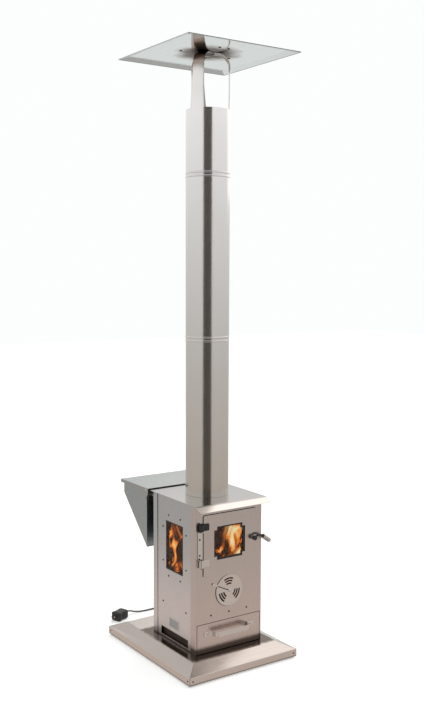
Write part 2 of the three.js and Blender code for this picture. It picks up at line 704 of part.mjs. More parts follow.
// The top section. Above its rim only the straps are left of the wall: they rise, bend inwards
// and end in tabs that hold the deflector.
function upperSection(from) {
  const { radius, wall, rim, bend } = FLUE;
  const tabTop = DEFLECTOR.top - DEFLECTOR.sheet - GAP;
  const turnRadius = tabTop - bend;
  const arc = (r) =>
    [...Array(7).keys()].map((i) => {
      const angle = (Math.PI / 2) * (i / 6);
      return [radius - turnRadius + r * Math.cos(angle), bend + r * Math.sin(angle)];
    });
  const wallProfile = [
    [radius, from],
    ...bead(from + 6),
    [radius, rim],
    ...arc(turnRadius),
    [STRAP.tab, tabTop],
    [STRAP.tab, tabTop - wall],
    ...arc(turnRadius - wall).reverse(),
    [radius - wall, from],
  ];
  const straps = joinAll(STRAP.angles.map((angle) =>
    block(0, -STRAP.width / 2, rim - 1, radius + 5, STRAP.width / 2, tabTop + 5).rotate([0, 0, angle])));
  const openings = bar(radius + 10, "Z", 0, 0, rim, tabTop + 10, ROUND).subtract(straps);
  const centre = bar(STRAP.tab + 4, "Z", 0, 0, rim, tabTop + 10, ROUND);
  return cutAll(turned(wallProfile), [openings, centre]);
}

function deflector() {
  const { half, slope, drop, top, sheet } = DEFLECTOR;
  const rim = top - drop;
  const perMm = slope / drop;
  const outside = stack([[rim - sheet, 0], [rim, 0], [top, slope]], half, -half, half);
  const inside = stack([[rim - sheet - 3, -3 * perMm], [top - sheet, slope]], half, -half, half);
  return outside.subtract(inside);
}

function addFlue() {
  const [first, second] = FLUE.joints;
  piece("flue_lower", flueSection(TOP.z + GAP, first, false), "flue");
  piece("flue_middle", flueSection(first + GAP, second, true), "flue");
  piece("flue_upper", upperSection(second + GAP), "flue");
  piece("heat_deflector", deflector(), "mirror");
}

// ---- Mains lead ---------------------------------------------------------------------------

// The tapered strain relief, pointing to +Y out of the rear sheet.
function cordGland() {
  const outside = BODY.half + GAP;
  const inside = BODY.half - 6;
  const collar = [[7.5, outside], [11, outside], [11, outside + 4], [8, outside + 6]];
  const profile = [[0, inside], [7.5, inside], ...collar, [4.2, CORD.exitY], [0, CORD.exitY]];
  return turned(profile, SMALL).rotate([-90, 0, 0]).translate([CORD.exitX, 0, CORD.exitZ]);
}

// Out of the strain relief, down to the plinth, over its rear lip and along the floor.
const LEAD_ROUTE = [
  [60, 172.3, 95], [60, 188, 94], [62, 205, 87], [64, 224, 73], [67, 242, 63], [71, 258, 59.4],
  [77, 274, 57.6], [85, 292, 50], [95, 309, 43], [104, 322, 37], [114, 335, 27], [127, 348, 14],
  [150, 356, 6], [172, 364, 3.6], [191, 376, 3.4],
];

// From the coil's far side to the plug's sleeve.
const RUN_ROUTE = [
  [180, 465.4, 8], [165, 465.2, 6.4], [150, 464.3, 4.6], [132, 462.5, 3.5], [110, 460, 3.4], [80, 457.5, 3.4],
  [50, 455.5, 3.4], [20, 455, 3.4], [2, 456, 3.4], [-22, 458, 4.8], [-42, 459, 9.2], [-57, 457.4, 14.8],
  [-71.2, 452.3, 18.3],
];

function leadTube(route, steps) {
  const curve = new THREE.CatmullRomCurve3(route.map((p) => vec(...p)));
  return tubeAlong(curve, CORD.radius, CORD.sides, steps);
}

// The outer shape of the tied coil: a ring of rounded section, lying on the floor.
function cordCoil() {
  const wide = COIL.column + CORD.radius;
  const high = 2 * CORD.radius * COIL.layers;
  const low = GAP;
  const r = COIL.radius;
  const half = [[r - wide + 2, low], [r + wide - 2, low], [r + wide, low + 3]];
  const other = half.map(([radius, z]) => [2 * r - radius, 2 * low + high - z]);
  return turned([...half, [r + wide, low + high - 3], ...other, [r - wide, low + 3]], 24)
    .translate([COIL.x, COIL.y, 0]);
}

// Places a plug part that was drawn pointing to +X from the plug's cord end, on the floor.
function asPlug(made) {
  return made.rotate([0, 0, PLUG.turn]).translate([PLUG.x, PLUG.y, 0]);
}

function plugBody() {
  const { length, width, height } = PLUG;
  const middle = height / 2 + GAP;
  const outline = roundedOutline(14, -width / 2, 14 + length, width / 2, 7);
  const shell = prism(outline, "Z", GAP, height + GAP);
  const taper = turned([[0, 0], [4.5, 0], [7.5, 16], [0, 16]], SMALL);
  const sleeve = taper.rotate([0, 90, 0]).translate([0, 0, middle]);
  return shell.add(sleeve);
}

function plugBlade(y) {
  const end = 14 + PLUG.length + GAP;
  return block(end, y - 0.8, PLUG.height / 2 + 2, end + 18, y + 0.8, PLUG.height / 2 + 8.3);
}

function plugEarthPin() {
  const end = 14 + PLUG.length + GAP;
  return bar(2.4, "X", 0, PLUG.height / 2 - 6, end, end + 20, 12);
}

function addLead() {
  piece("cord_gland", cordGland(), "rubber");
  piece("cord_lead", leadTube(LEAD_ROUTE, 24), "cord");
  piece("cord_coil", cordCoil(), "cord");
  piece("cord_run", leadTube(RUN_ROUTE, 18), "cord");
  piece("plug_body", asPlug(plugBody()), "plastic");
  piece("plug_blade_left", asPlug(plugBlade(6.35)), "blade");
  piece("plug_blade_right", asPlug(plugBlade(-6.35)), "blade");
  piece("plug_earth_pin", asPlug(plugEarthPin()), "blade");
}

// ---- Assembly -----------------------------------------------------------------------------

addPlinth();
addFirebox();
addDoor();
addRegister();
addDrawer();
addHopper();
addFlue();
addLead();
stove.position.y = -(BASE.front + LID.rear) / 2;

const root = new THREE.Group();
root.add(stove);

export default root;
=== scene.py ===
"""Dresses the pellet patio stove: its camera, mains lead, finishes, fine pieces, fire and studio."""

import json
import math

import bmesh
import bpy
from mathutils import Matrix, Vector


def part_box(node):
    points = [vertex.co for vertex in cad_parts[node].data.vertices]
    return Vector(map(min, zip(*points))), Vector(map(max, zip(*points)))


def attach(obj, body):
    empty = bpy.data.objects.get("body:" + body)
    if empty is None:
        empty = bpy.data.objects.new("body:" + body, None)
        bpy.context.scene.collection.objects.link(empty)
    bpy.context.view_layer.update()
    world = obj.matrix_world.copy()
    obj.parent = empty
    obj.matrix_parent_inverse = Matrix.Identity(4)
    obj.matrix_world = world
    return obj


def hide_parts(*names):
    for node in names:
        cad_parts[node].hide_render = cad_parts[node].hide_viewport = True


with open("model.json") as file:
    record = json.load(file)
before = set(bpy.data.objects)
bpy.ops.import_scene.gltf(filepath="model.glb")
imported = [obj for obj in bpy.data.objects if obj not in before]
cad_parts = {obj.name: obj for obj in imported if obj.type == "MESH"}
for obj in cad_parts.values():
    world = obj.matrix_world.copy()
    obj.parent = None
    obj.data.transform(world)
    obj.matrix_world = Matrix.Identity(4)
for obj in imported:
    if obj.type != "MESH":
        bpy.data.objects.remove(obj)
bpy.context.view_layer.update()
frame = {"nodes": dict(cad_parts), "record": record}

MM = 0.001
BOX = {name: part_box(name) for name in frame["nodes"]}


def middle(node):
    low, high = BOX[node]
    return (low + high) / 2


def size(node):
    low, high = BOX[node]
    return high - low


FLUE_AXIS = middle("flue_lower")
BEAD = 1.2 * MM
FLUE_R = size("flue_lower").x / 2 - BEAD
CABINET_FRONT = BOX["front_sheet"][0].y
CABINET_REAR = BOX["rear_sheet"][1].y
CABINET_HALF = BOX["front_sheet"][1].x
SIDE_FACE = BOX["side_sheet_right"][1].x
DOOR_FACE = BOX["door_panel"][0].y
PLINTH_TOP = BOX["base_plinth"][1].z


def about_flue(x, y, z):
    """A point given in millimetres from the flue's axis at floor height, as part.mjs lays it out."""
    return Vector((x * MM, y * MM + FLUE_AXIS.y, z * MM))


def added(name, data):
    """A new object in the scene."""
    obj = bpy.data.objects.new(name, data)
    bpy.context.scene.collection.objects.link(obj)
    return obj


# ---- Camera -------------------------------------------------------------------------------

VIEW_AZIMUTH, VIEW_ELEVATION, VIEW_ROLL = -34.27, 4.97, 0.18
VIEW_FROM = (-1827.4, -2711.1, 1346.6)
VIEW_LENS = 47.45


def make_camera():
    a, e = math.radians(VIEW_AZIMUTH), math.radians(VIEW_ELEVATION)
    back = Vector((math.sin(a) * math.cos(e), -math.cos(a) * math.cos(e), math.sin(e)))
    right = Vector((math.cos(a), math.sin(a), 0))
    turn = Matrix((right, back.cross(right), back)).transposed()
    camera = added("camera", bpy.data.cameras.new("camera"))
    roll = Matrix.Rotation(math.radians(VIEW_ROLL), 4, "Z")
    camera.matrix_world = Matrix.Translation(about_flue(*VIEW_FROM)) @ turn.to_4x4() @ roll
    camera.data.sensor_width = 36
    camera.data.lens = VIEW_LENS
    camera.data.clip_start = 0.05
    camera.data.clip_end = 60
    bpy.context.scene.camera = camera


make_camera()

# ---- Materials ----------------------------------------------------------------------------


class Finish:
    """Short calls for procedural nodes, in a new Principled material or in a tree that exists."""

    def __init__(self, name, tree=None, **surface):
        if tree is None:
            self.material = bpy.data.materials.new(name)
            self.material.use_nodes = True
            tree = self.material.node_tree
        self.tree = tree
        self.surface = tree.nodes.get("Principled BSDF")
        for socket, value in surface.items():
            self.surface.inputs[socket.replace("_", " ")].default_value = value

    def node(self, kind, inputs=None, **settings):
        made = self.tree.nodes.new("ShaderNode" + kind)
        for key, value in settings.items():
            setattr(made, key, value)
        for key, value in (inputs or {}).items():
            if isinstance(value, bpy.types.NodeSocket):
                self.tree.links.new(value, made.inputs[key])
            else:
                made.inputs[key].default_value = value
        return made

    def place(self, scale=(1, 1, 1)):
        """Positions in the piece's own frame, in metres, times a scale for each axis."""
        where = self.node("TexCoord").outputs["Object"]
        return self.node("Mapping", {"Vector": where, "Scale": scale}).outputs["Vector"]

    def noise(self, scale, detail=3, roughness=0.5, spread=(1, 1, 1)):
        inputs = {"Vector": self.place(spread), "Scale": scale, "Detail": detail, "Roughness": roughness}
        return self.node("TexNoise", inputs).outputs["Fac"]

    def ramp(self, factor, *stops, interpolation="LINEAR"):
        """A colour ramp. Each stop is a position and a colour, or a grey level."""
        made = self.node("ValToRGB", {"Fac": factor})
        made.color_ramp.interpolation = interpolation
        elements = made.color_ramp.elements
        for element, (position, _) in zip(elements, stops):
            element.position = position
        for position, _ in stops[len(elements) :]:
            elements.new(position)
        for element, (_, colour) in zip(elements, stops):
            element.color = (*colour, 1) if isinstance(colour, tuple) else (colour, colour, colour, 1)
        return made.outputs["Color"]

    def range(self, factor, low, high):
        """A factor from 0.25 to 0.75, where noise lies, spread over a range of values."""
        return self.remap(factor, 0.25, 0.75, low, high)

    def remap(self, value, start, end, low=0.0, high=1.0, smooth=False):
        """A value between start and end, spread from low to high."""
        inputs = {"Value": value, "From Min": start, "From Max": end, "To Min": low, "To Max": high}
        kind = "SMOOTHSTEP" if smooth else "LINEAR"
        return self.node("MapRange", inputs, interpolation_type=kind).outputs["Result"]

    def math(self, operation, a, b):
        return self.node("Math", {0: a, 1: b}, operation=operation).outputs["Value"]

    def mix(self, factor, a, b, blend="MIX"):
        made = self.node("Mix", data_type="RGBA", blend_type=blend)
        for socket, value in ((made.inputs[0], factor), (made.inputs[6], a), (made.inputs[7], b)):
            if isinstance(value, bpy.types.NodeSocket):
                self.tree.links.new(value, socket)
            elif isinstance(value, tuple):
                socket.default_value = (*value, 1)
            else:
                socket.default_value = value
        return made.outputs[2]

    def split(self):
        """X, Y and Z of the position in the piece's own frame."""
        return self.node("SeparateXYZ", {"Vector": self.place()}).outputs

    def height(self):
        return self.split()["Z"]

    def set(self, socket, value):
        self.tree.links.new(value, self.surface.inputs[socket])

    def bump(self, height, strength, distance):
        inputs = {"Height": height, "Strength": strength, "Distance": distance}
        self.set("Normal", self.node("Bump", inputs).outputs["Normal"])


def scaled(colour, factor):
    return tuple(min(1.0, c * factor) for c in colour)


GRAIN = {"X": (0.02, 1, 1), "Y": (1, 0.02, 1), "Z": (1, 1, 0.02)}


def brushed(name, colour, roughness, grain="Z", depth=0.12, smudge=0.05, painted_height_band=None, painted_foot_shade=None):
    """Stainless sheet: fine lines along one axis, soft cloudy smudges and a few handling marks.
    The band by height, (low height, high height, colour at the low one), is painted light and
    shade that fades in below a height. The foot factor paints shade and dark reflection at the cabinet's
    foot."""
    f = Finish(name, Metallic=1.0, Specular_Tint=(1, 1, 1, 1))
    lines = f.noise(2200, 3, 0.6, GRAIN[grain])
    broad = f.noise(420, 2, 0.5, GRAIN[grain])
    cloud = f.noise(9, 4, 0.6)
    smear = f.noise(55, 4, 0.65)
    shade = f.ramp(broad, (0.3, scaled(colour, 0.95)), (0.7, scaled(colour, 1.04)))
    shade = f.mix(f.range(cloud, 0, 0.16), shade, scaled(colour, 0.86))
    # Painted light and shade by height: the colour at the low height fades in below the high one.
    if painted_height_band:
        low, high, warm = painted_height_band
        near = f.remap(f.height(), low, high, 1.0, 0.0, smooth=True)
        shade = f.mix(near, shade, f.mix(f.range(cloud, 0, 0.3), warm, scaled(warm, 0.86)))
    # Painted shade and dark reflection at the cabinet's foot, in dark brown.
    if painted_foot_shade:
        shade = f.mix(painted_foot_shade(f, smear), shade, (0.11, 0.075, 0.055))
    f.set("Base Color", shade)
    rough = f.math("ADD", f.range(lines, roughness - 0.05, roughness + 0.05), f.range(cloud, 0, smudge))
    f.set("Roughness", f.math("ADD", rough, f.range(smear, -0.01, 0.015)))
    f.bump(f.math("ADD", lines, f.math("MULTIPLY", broad, 0.6)), depth, 0.00001)
    return f.material


def painted_shade_above_plinth(unshaded, shaded):
    """Painted shade and dark reflection low on the cabinet's sheets, fading up from the plinth between a
    shaded and an unshaded height.
    """

    def painted_shade(f, smear):
        wander = f.math("ADD", f.height(), f.range(smear, -0.0015, 0.0015))
        return f.remap(wander, unshaded, shaded, 0.0, 0.8, smooth=True)

    return painted_shade


def painted_shade_round_cabinet(reach):
    """Painted shade and dark reflection on the plinth's flat top, fading away from the cabinet over a
    distance.
    """

    def painted_shade(f, smear):
        where = f.split()
        off_x = f.math("SUBTRACT", f.math("ABSOLUTE", where["X"], 0.0), CABINET_HALF)
        off_y = f.math("ABSOLUTE", f.math("SUBTRACT", where["Y"], FLUE_AXIS.y), 0.0)
        away = f.math("MAXIMUM", off_x, f.math("SUBTRACT", off_y, CABINET_HALF))
        wander = f.math("ADD", away, f.range(smear, -0.005, 0.005))
        near = f.remap(wander, reach, 0.6 * reach, 0.0, 0.92, smooth=True)
        flat_top = f.remap(where["Z"], PLINTH_TOP - 2 * MM, PLINTH_TOP - 0.5 * MM)
        return f.math("MULTIPLY", near, flat_top)

    return painted_shade


def sooted(name, colour, roughness=0.5):
    """Steel that the fire has turned brown, with soot in drifts."""
    f = Finish(name, Metallic=1.0)
    drift = f.noise(26, 5, 0.65)
    fine = f.noise(380, 3)
    tones = f.ramp(drift, (0.3, scaled(colour, 0.35)), (0.5, colour), (0.72, scaled(colour, 1.5)))
    f.set("Base Color", f.mix(f.range(fine, 0, 0.4), tones, scaled(colour, 0.5)))
    f.set("Roughness", f.range(drift, roughness + 0.18, roughness - 0.1))
    f.bump(fine, 0.15, 0.0001)
    return f.material


def cast_iron(name):
    f = Finish(name, Metallic=0.7)
    pits = f.noise(700, 5, 0.7)
    ash = f.noise(40, 4)
    tones = (0.35, (0.035, 0.031, 0.029)), (0.62, (0.08, 0.072, 0.066)), (0.8, (0.28, 0.26, 0.24))
    f.set("Base Color", f.ramp(ash, *tones))
    f.set("Roughness", f.range(pits, 0.62, 0.9))
    f.bump(pits, 0.5, 0.0004)
    return f.material


def black_paint(name):
    """High-temperature paint: a dry black film with a fine orange-peel and rubbed edges."""
    f = Finish(name, Metallic=0.15, Specular_IOR_Level=0.45)
    peel = f.noise(900, 2)
    rub = f.noise(60, 5, 0.7)
    tones = (0.35, (0.013, 0.012, 0.012)), (0.66, (0.03, 0.028, 0.027)), (0.76, (0.11, 0.1, 0.09))
    f.set("Base Color", f.ramp(rub, *tones))
    f.set("Roughness", f.range(peel, 0.38, 0.56))
    f.bump(peel, 0.18, 0.0002)
    return f.material


def rubber(name, colour, grain=1100):
    f = Finish(name, Specular_IOR_Level=0.35)
    fine = f.noise(grain, 3)
    dust = f.noise(70, 4)
    f.set("Base Color", f.mix(f.range(dust, 0, 0.35), colour, scaled(colour, 1.9)))
    f.set("Roughness", f.range(fine, 0.55, 0.8))
    f.bump(fine, 0.2, 0.00015)
    return f.material


def window_glass(name):
    """Heat-resistant glass, a little smoked from inside, the smoke lying in patches."""
    f = Finish(name, IOR=1.47, Specular_IOR_Level=0.6, Coat_Weight=0.3, Coat_Roughness=0.02)
    haze = f.noise(18, 5, 0.6)
    f.set("Base Color", f.ramp(haze, (0.35, (0.05, 0.03, 0.018)), (0.75, (0.11, 0.07, 0.04))))
    f.set("Alpha", f.range(haze, 0.1, 0.26))
    f.set("Roughness", f.range(haze, 0.02, 0.09))
    f.material.surface_render_method = "BLENDED"
    return f.material


def flue_steel(name):
    """Bright annealed tube: fine lines round it, faint ripples from rolling. Its colour up its length
    is painted light and shade: darker and warmer at its foot, lighter higher up, and dark brown
    at its very top, in the shade under the deflector."""
    f = Finish(name, Metallic=1.0)
    rings = f.noise(1500, 3, 0.55, (0.15, 0.15, 1))
    ripple = f.noise(14, 2, 0.4, (1, 1, 0.12))
    cloud = f.noise(7, 4, 0.6)
    foot, top = BOX["flue_lower"][0].z, BOX["flue_upper"][1].z
    wander = f.math("ADD", f.remap(f.height(), foot, top), f.range(cloud, -0.008, 0.008))
    # Painted light and shade up the tube; the last stops are the painted shade under the deflector.
    tones = f.ramp(
        wander,
        (0.0, (0.70, 0.66, 0.60)),
        (0.16, (0.76, 0.74, 0.70)),
        (0.45, (0.83, 0.81, 0.80)),
        (0.86, (0.89, 0.88, 0.875)),
        (0.955, (0.86, 0.84, 0.82)),
        (0.982, (0.52, 0.43, 0.37)),
        (1.0, (0.20, 0.15, 0.12)),
    )
    f.set("Base Color", f.mix(f.range(cloud, 0, 0.1), tones, (0.55, 0.52, 0.5)))
    f.set("Roughness", f.math("ADD", f.range(rings, 0.12, 0.19), f.range(cloud, 0, 0.06)))
    f.bump(f.math("ADD", f.math("MULTIPLY", rings, 0.1), ripple), 0.25, 0.0004)
    return f.material


def polished(name, colour, roughness=0.06):
    """Polished sheet: a near mirror with wipe marks and a slight oil-can waviness."""
    f = Finish(name, Metallic=1.0)
    wipe = f.noise(130, 3, 0.6, (1, 0.15, 1))
    wave = f.noise(5, 2, 0.4)
    f.set("Base Color", f.ramp(wipe, (0.3, scaled(colour, 0.93)), (0.7, scaled(colour, 1.03))))
    f.set("Roughness", f.range(wipe, roughness, roughness + 0.06))
    f.bump(wave, 0.3, 0.0015)
    return f.material


def deflector_steel(name):
    """Polished sheet, darkened to brown round the flue's axis: a painted dark reflection of the flue's open
    top.
    """
    material = polished(name, (0.88, 0.89, 0.89))
    f = Finish(name, material.node_tree)
    unshaded = f.surface.inputs["Base Color"].links[0].from_socket
    where = f.split()
    across = f.node("CombineXYZ", {"X": where["X"], "Y": where["Y"], "Z": 0.0}).outputs["Vector"]
    axis = (FLUE_AXIS.x, FLUE_AXIS.y, 0.0)
    far = f.node("VectorMath", {0: across, 1: axis}, operation="DISTANCE").outputs["Value"]
    wander = f.math("ADD", far, f.range(f.noise(16, 4, 0.6), -0.018, 0.018))
    # Painted dark reflection of the flue's open top: dark brown at the axis, fading to the polished colour
    # some 125 mm out.
    tone = f.ramp(
        f.math("MULTIPLY", wander, 8.0),
        (0.0, (0.06, 0.045, 0.036)),
        (0.4, (0.12, 0.09, 0.075)),
        (0.62, (0.28, 0.22, 0.19)),
        (0.8, (0.62, 0.57, 0.545)),
        (1.0, (1.0, 1.0, 1.0)),
    )
    f.set("Base Color", f.mix(1.0, unshaded, tone, "MULTIPLY"))
    smooth = f.surface.inputs["Roughness"].links[0].from_socket
    f.set("Roughness", f.math("ADD", smooth, f.remap(wander, 0.07, 0.13, 0.3, 0.0)))
    return material


def moulded(name, colour):
    f = Finish(name, Specular_IOR_Level=0.45)
    grain = f.noise(1400, 2)
    wear = f.noise(45, 4)
    f.set("Base Color", f.mix(f.range(wear, 0, 0.5), colour, scaled(colour, 1.7)))
    f.set("Roughness", f.range(grain, 0.36, 0.52))
    f.bump(grain, 0.15, 0.0001)
    return f.material


# Painted shade and dark reflection low on the front and on the sides, where they meet the plinth.
FRONT_FOOT_SHADE = painted_shade_above_plinth(PLINTH_TOP + 29 * MM, PLINTH_TOP + 14 * MM)
SIDE_FOOT_SHADE = painted_shade_above_plinth(PLINTH_TOP + 9 * MM, PLINTH_TOP + 2 * MM)
TOP_FACE = BOX["top_plate"][1].z
# Painted highlight: the top plate's front flange, below its top face, turns near white.
TOP_LIP_HIGHLIGHT = (TOP_FACE - 3.5 * MM, TOP_FACE - 1.5 * MM, (0.92, 0.87, 0.84))
PLINTH_EDGE_SHADOW = (7 * MM, 11.5 * MM, (0.17, 0.14, 0.125))  # painted shadow along the lowest edge of the lip, over the gap under it
# The plinth, the cabinet's sheets, top, hopper and lid are one brushed stainless steel; the differences
# between their colours are partly painted light and shade on each face.
FINISHES = {
    # The plinth: painted shadow along its lip's lowest edge, and painted shade and dark reflection on its
    # flat top round the cabinet.
    "plinth_steel": brushed(
        "plinth_steel", (0.72, 0.66, 0.62), 0.2, "X", painted_height_band=PLINTH_EDGE_SHADOW, painted_foot_shade=painted_shade_round_cabinet(46 * MM)
    ),
    # Front and sides: lighter and warmer towards the bottom, a painted reflection of the floor, with painted
    # shade where they meet the plinth.
    "front_steel": brushed(
        "front_steel", (0.62, 0.57, 0.54), 0.23, "Z", painted_height_band=(0.1, 0.5, (0.70, 0.61, 0.57)), painted_foot_shade=FRONT_FOOT_SHADE
    ),
    "side_steel": brushed(
        "side_steel", (0.56, 0.59, 0.61), 0.23, "Z", painted_height_band=(0.16, 0.5, (0.78, 0.75, 0.76)), painted_foot_shade=SIDE_FOOT_SHADE
    ),
    "inner_steel": sooted("inner_steel", (0.10, 0.075, 0.06)),
    "top_steel": brushed("top_steel", (0.49, 0.475, 0.47), 0.15, "X", painted_height_band=TOP_LIP_HIGHLIGHT),
    "hopper_steel": brushed("hopper_steel", (0.44, 0.49, 0.50), 0.26, "Z"),
    "lid_steel": brushed("lid_steel", (0.48, 0.495, 0.49), 0.2, "X"),
    "flue_steel": flue_steel("flue_steel"),
    "deflector_steel": deflector_steel("deflector_steel"),
    "bright_steel": brushed("bright_steel", (0.74, 0.71, 0.68), 0.2, "X"),
    "black_metal": black_paint("black_metal"),
    "cast_iron": cast_iron("cast_iron"),
    "glass": window_glass("glass"),
    "rubber": rubber("rubber", (0.022, 0.022, 0.023)),
    "cord": rubber("cord", (0.085, 0.09, 0.095), 1600),
    "plug_plastic": moulded("plug_plastic", (0.018, 0.019, 0.021)),
    "contact_metal": polished("contact_metal", (0.72, 0.70, 0.66), 0.12),
}

# ---- Geometry helpers ---------------------------------------------------------------------


def finished(obj, body, slot, replaces=()):
    """Gives a new piece its material and its body, and hides the CAD nodes it stands for."""
    obj.data.materials.clear()
    obj.data.materials.append(FINISHES[slot])
    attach(obj, body)
    if replaces:
        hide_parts(*replaces)
    return obj


def mesh_piece(name, bm, body, slot, replaces=(), smooth=40, bevel=None):
    bmesh.ops.remove_doubles(bm, verts=bm.verts, dist=1e-6)
    bmesh.ops.recalc_face_normals(bm, faces=bm.faces)
    mesh = bpy.data.meshes.new(name)
    bm.to_mesh(mesh)
    bm.free()
    mesh.shade_smooth()
    mesh.set_sharp_from_angle(angle=math.radians(smooth))
    obj = added(name, mesh)
    if bevel:
        soften(obj, bevel)
    return finished(obj, body, slot, replaces)


def soften(obj, width, segments=3):
    """Rounds the sharp edges, as folding and deburring leave them."""
    modifier = obj.modifiers.new("rounded_edges", "BEVEL")
    modifier.width = width
    modifier.segments = segments
    modifier.limit_method = "ANGLE"
    modifier.angle_limit = math.radians(38)
    modifier.harden_normals = True
    modifier.use_clamp_overlap = True


def ring(bm, points):
    return [bm.verts.new(p) for p in points]


def bridge(bm, a, b, closed=True):
    last = len(a) if closed else len(a) - 1
    for i in range(last):
        j = (i + 1) % len(a)
        quad = [a[i], a[j], b[j], b[i]]
        unique = [v for k, v in enumerate(quad) if v not in quad[:k]]
        if len(unique) > 2:
            bm.faces.new(unique)


def skin(bm, rows, capped=False):
    """Faces from each row of vertices to the next, and over both ends if it is capped."""
    for a, b in zip(rows, rows[1:]):
        bridge(bm, a, b)
    if capped:
        bm.faces.new(rows[0])
        bm.faces.new(rows[-1])


def axis_frame(origin, along):
    """A matrix whose Z is along a direction, placed at an origin."""
    return Matrix.Translation(origin) @ Vector(along).to_track_quat("Z", "Y").to_matrix().to_4x4()


def mm(*pairs):
    """Pairs given in millimetres, in metres."""
    return [(a * MM, b * MM) for a, b in pairs]


def lathe(bm, profile, place, sides=48):
    """Turns (radius, height) pairs in metres about the Z of place. A radius of 0 closes the end."""
    rings = []
    for radius, height in profile:
        if radius < 1e-9:
            rings.append([bm.verts.new(place @ Vector((0, 0, height)))] * sides)
            continue
        angles = (2 * math.pi * i / sides for i in range(sides))
        points = [(radius * math.cos(t), radius * math.sin(t), height) for t in angles]
        rings.append(ring(bm, [place @ Vector(p) for p in points]))
    skin(bm, rings)
    return rings


def turned_piece(name, profile, place, sides, body, slot, replaces=()):
    bm = bmesh.new()
    lathe(bm, profile, place, sides)
    return mesh_piece(name, bm, body, slot, replaces)


def plate(bm, outline, place, thickness):
    """A flat plate: (x, y) pairs in the XY of place, from z = 0 to its thickness."""
    low = ring(bm, [place @ Vector((x, y, 0)) for x, y in outline])
    high = ring(bm, [place @ Vector((x, y, thickness)) for x, y in outline])
    skin(bm, [low, high], capped=True)


def flat_ring(bm, outer, inner, place, thickness):
    """A flat ring between two outlines of as many points, in the XY of place."""
    rows = []
    for outline, z in ((outer, 0), (outer, thickness), (inner, thickness), (inner, 0)):
        rows.append(ring(bm, [place @ Vector((x, y, z)) for x, y in outline]))
    skin(bm, [*rows, rows[0]])


def arc(x, y, radius, start, end, steps=8):
    """Points on an arc, its angles in degrees."""
    turn = [math.radians(start + (end - start) * i / steps) for i in range(steps + 1)]
    return [(x + radius * math.cos(t), y + radius * math.sin(t)) for t in turn]


def strip_along(bm, line, width, thickness, across):
    """A flat strip bent along a line. across is the direction of its width."""
    across = Vector(across)
    edges = []
    for i, p in enumerate(line):
        ahead = line[min(i + 1, len(line) - 1)] - line[max(i - 1, 0)]
        out = ahead.cross(across).normalized() * thickness / 2
        half = across * width / 2
        edges.append(ring(bm, [p - half - out, p + half - out, p + half + out, p - half + out]))
    skin(bm, edges, capped=True)


def smooth_line(points, steps=8):
    """A Catmull-Rom line through the points."""
    points = [Vector(p) for p in points]
    made = []
    for i in range(len(points) - 1):
        a, b, c, d = points[max(i - 1, 0)], points[i], points[i + 1], points[min(i + 2, len(points) - 1)]
        for k in range(steps):
            t = k / steps
            bend = 2 * b + (c - a) * t + (2 * a - 5 * b + 4 * c - d) * t * t
            made.append(0.5 * (bend + (3 * b - a - 3 * c + d) * t**3))
    return [*made, points[-1]]


def sweep(bm, line, radius, sides=16):
    """A round bar along a line, closed at its ends. radius is a number or a function of 0 to 1."""
    rings = []
    for i, p in enumerate(line):
        ahead = line[min(i + 1, len(line) - 1)] - line[max(i - 1, 0)]
        side = ahead.cross(Vector((0, 1, 0.01))).normalized()
        up = side.cross(ahead).normalized()
        r = radius(i / (len(line) - 1)) if callable(radius) else radius
        angles = (2 * math.pi * k / sides for k in range(sides))
        rings.append(ring(bm, [p + r * (math.cos(t) * side + math.sin(t) * up) for t in angles]))
    skin(bm, rings, capped=True)


def screw_head(bm, at, out, radius=3.4 * MM, height=1.7 * MM, recess=True):
    """A pan head with a cross recess, standing on a surface."""
    place = axis_frame(at, out)
    profile = [(radius, -0.2 * MM), (radius, 0.35 * height)]
    profile += [(radius * math.cos(t) ** 0.8, height * (0.35 + 0.65 * math.sin(t))) for t in (0.4, 0.8, 1.15)]
    if not recess:
        lathe(bm, [*profile, (0, height)], place, 20)
        return
    arm = 0.52 * radius
    slot = 0.17 * radius
    deep = 0.55 * height
    sides = 24
    outer = lathe(bm, profile, place, sides)[-1]
    cross = [(arm, slot), (slot, slot), (slot, arm), (-slot, arm), (-slot, slot), (-arm, slot)]
    cross += [(-x, -y) for x, y in cross]
    top = ring(bm, [place @ Vector((x, y, height * 0.98)) for x, y in cross])
    low = ring(bm, [place @ Vector((x * 0.8, y * 0.8, height - deep)) for x, y in cross])
    bridge(bm, top, low)
    bm.faces.new(low)
    for i in range(sides):
        j = (i + 1) % sides
        near, after = top[i // 2], top[j // 2]
        bm.faces.new([outer[i], outer[j], near] if after is near else [outer[i], outer[j], after, near])


def rivet_head(bm, at, out, radius=3 * MM):
    screw_head(bm, at, out, radius, 0.42 * radius, recess=False)


# ---- Mains lead ---------------------------------------------------------------------------

CORD_R = 3 * MM
LEAD_ROUTE = [
    (60, 172.3, 95), (60, 188, 94), (62, 205, 87), (64, 224, 73), (67, 242, 63), (71, 258, 59.4),
    (77, 274, 57.6), (85, 292, 50), (95, 309, 43), (104, 322, 37), (114, 335, 27), (127, 348, 14),
    (150, 356, 6), (172, 364, 3.6), (191, 376, 3.4),
]
RUN_ROUTE = [
    (165, 465.2, 6.4), (150, 464.3, 4.6), (132, 462.5, 3.5), (110, 460, 3.4), (80, 457.5, 3.4),
    (50, 455.5, 3.4), (20, 455, 3.4), (2, 456, 3.4), (-22, 458, 4.8), (-42, 459, 9.2), (-57, 457.4, 14.8),
    (-71.2, 452.3, 18.3),
]
COIL_AT = (180, 420)
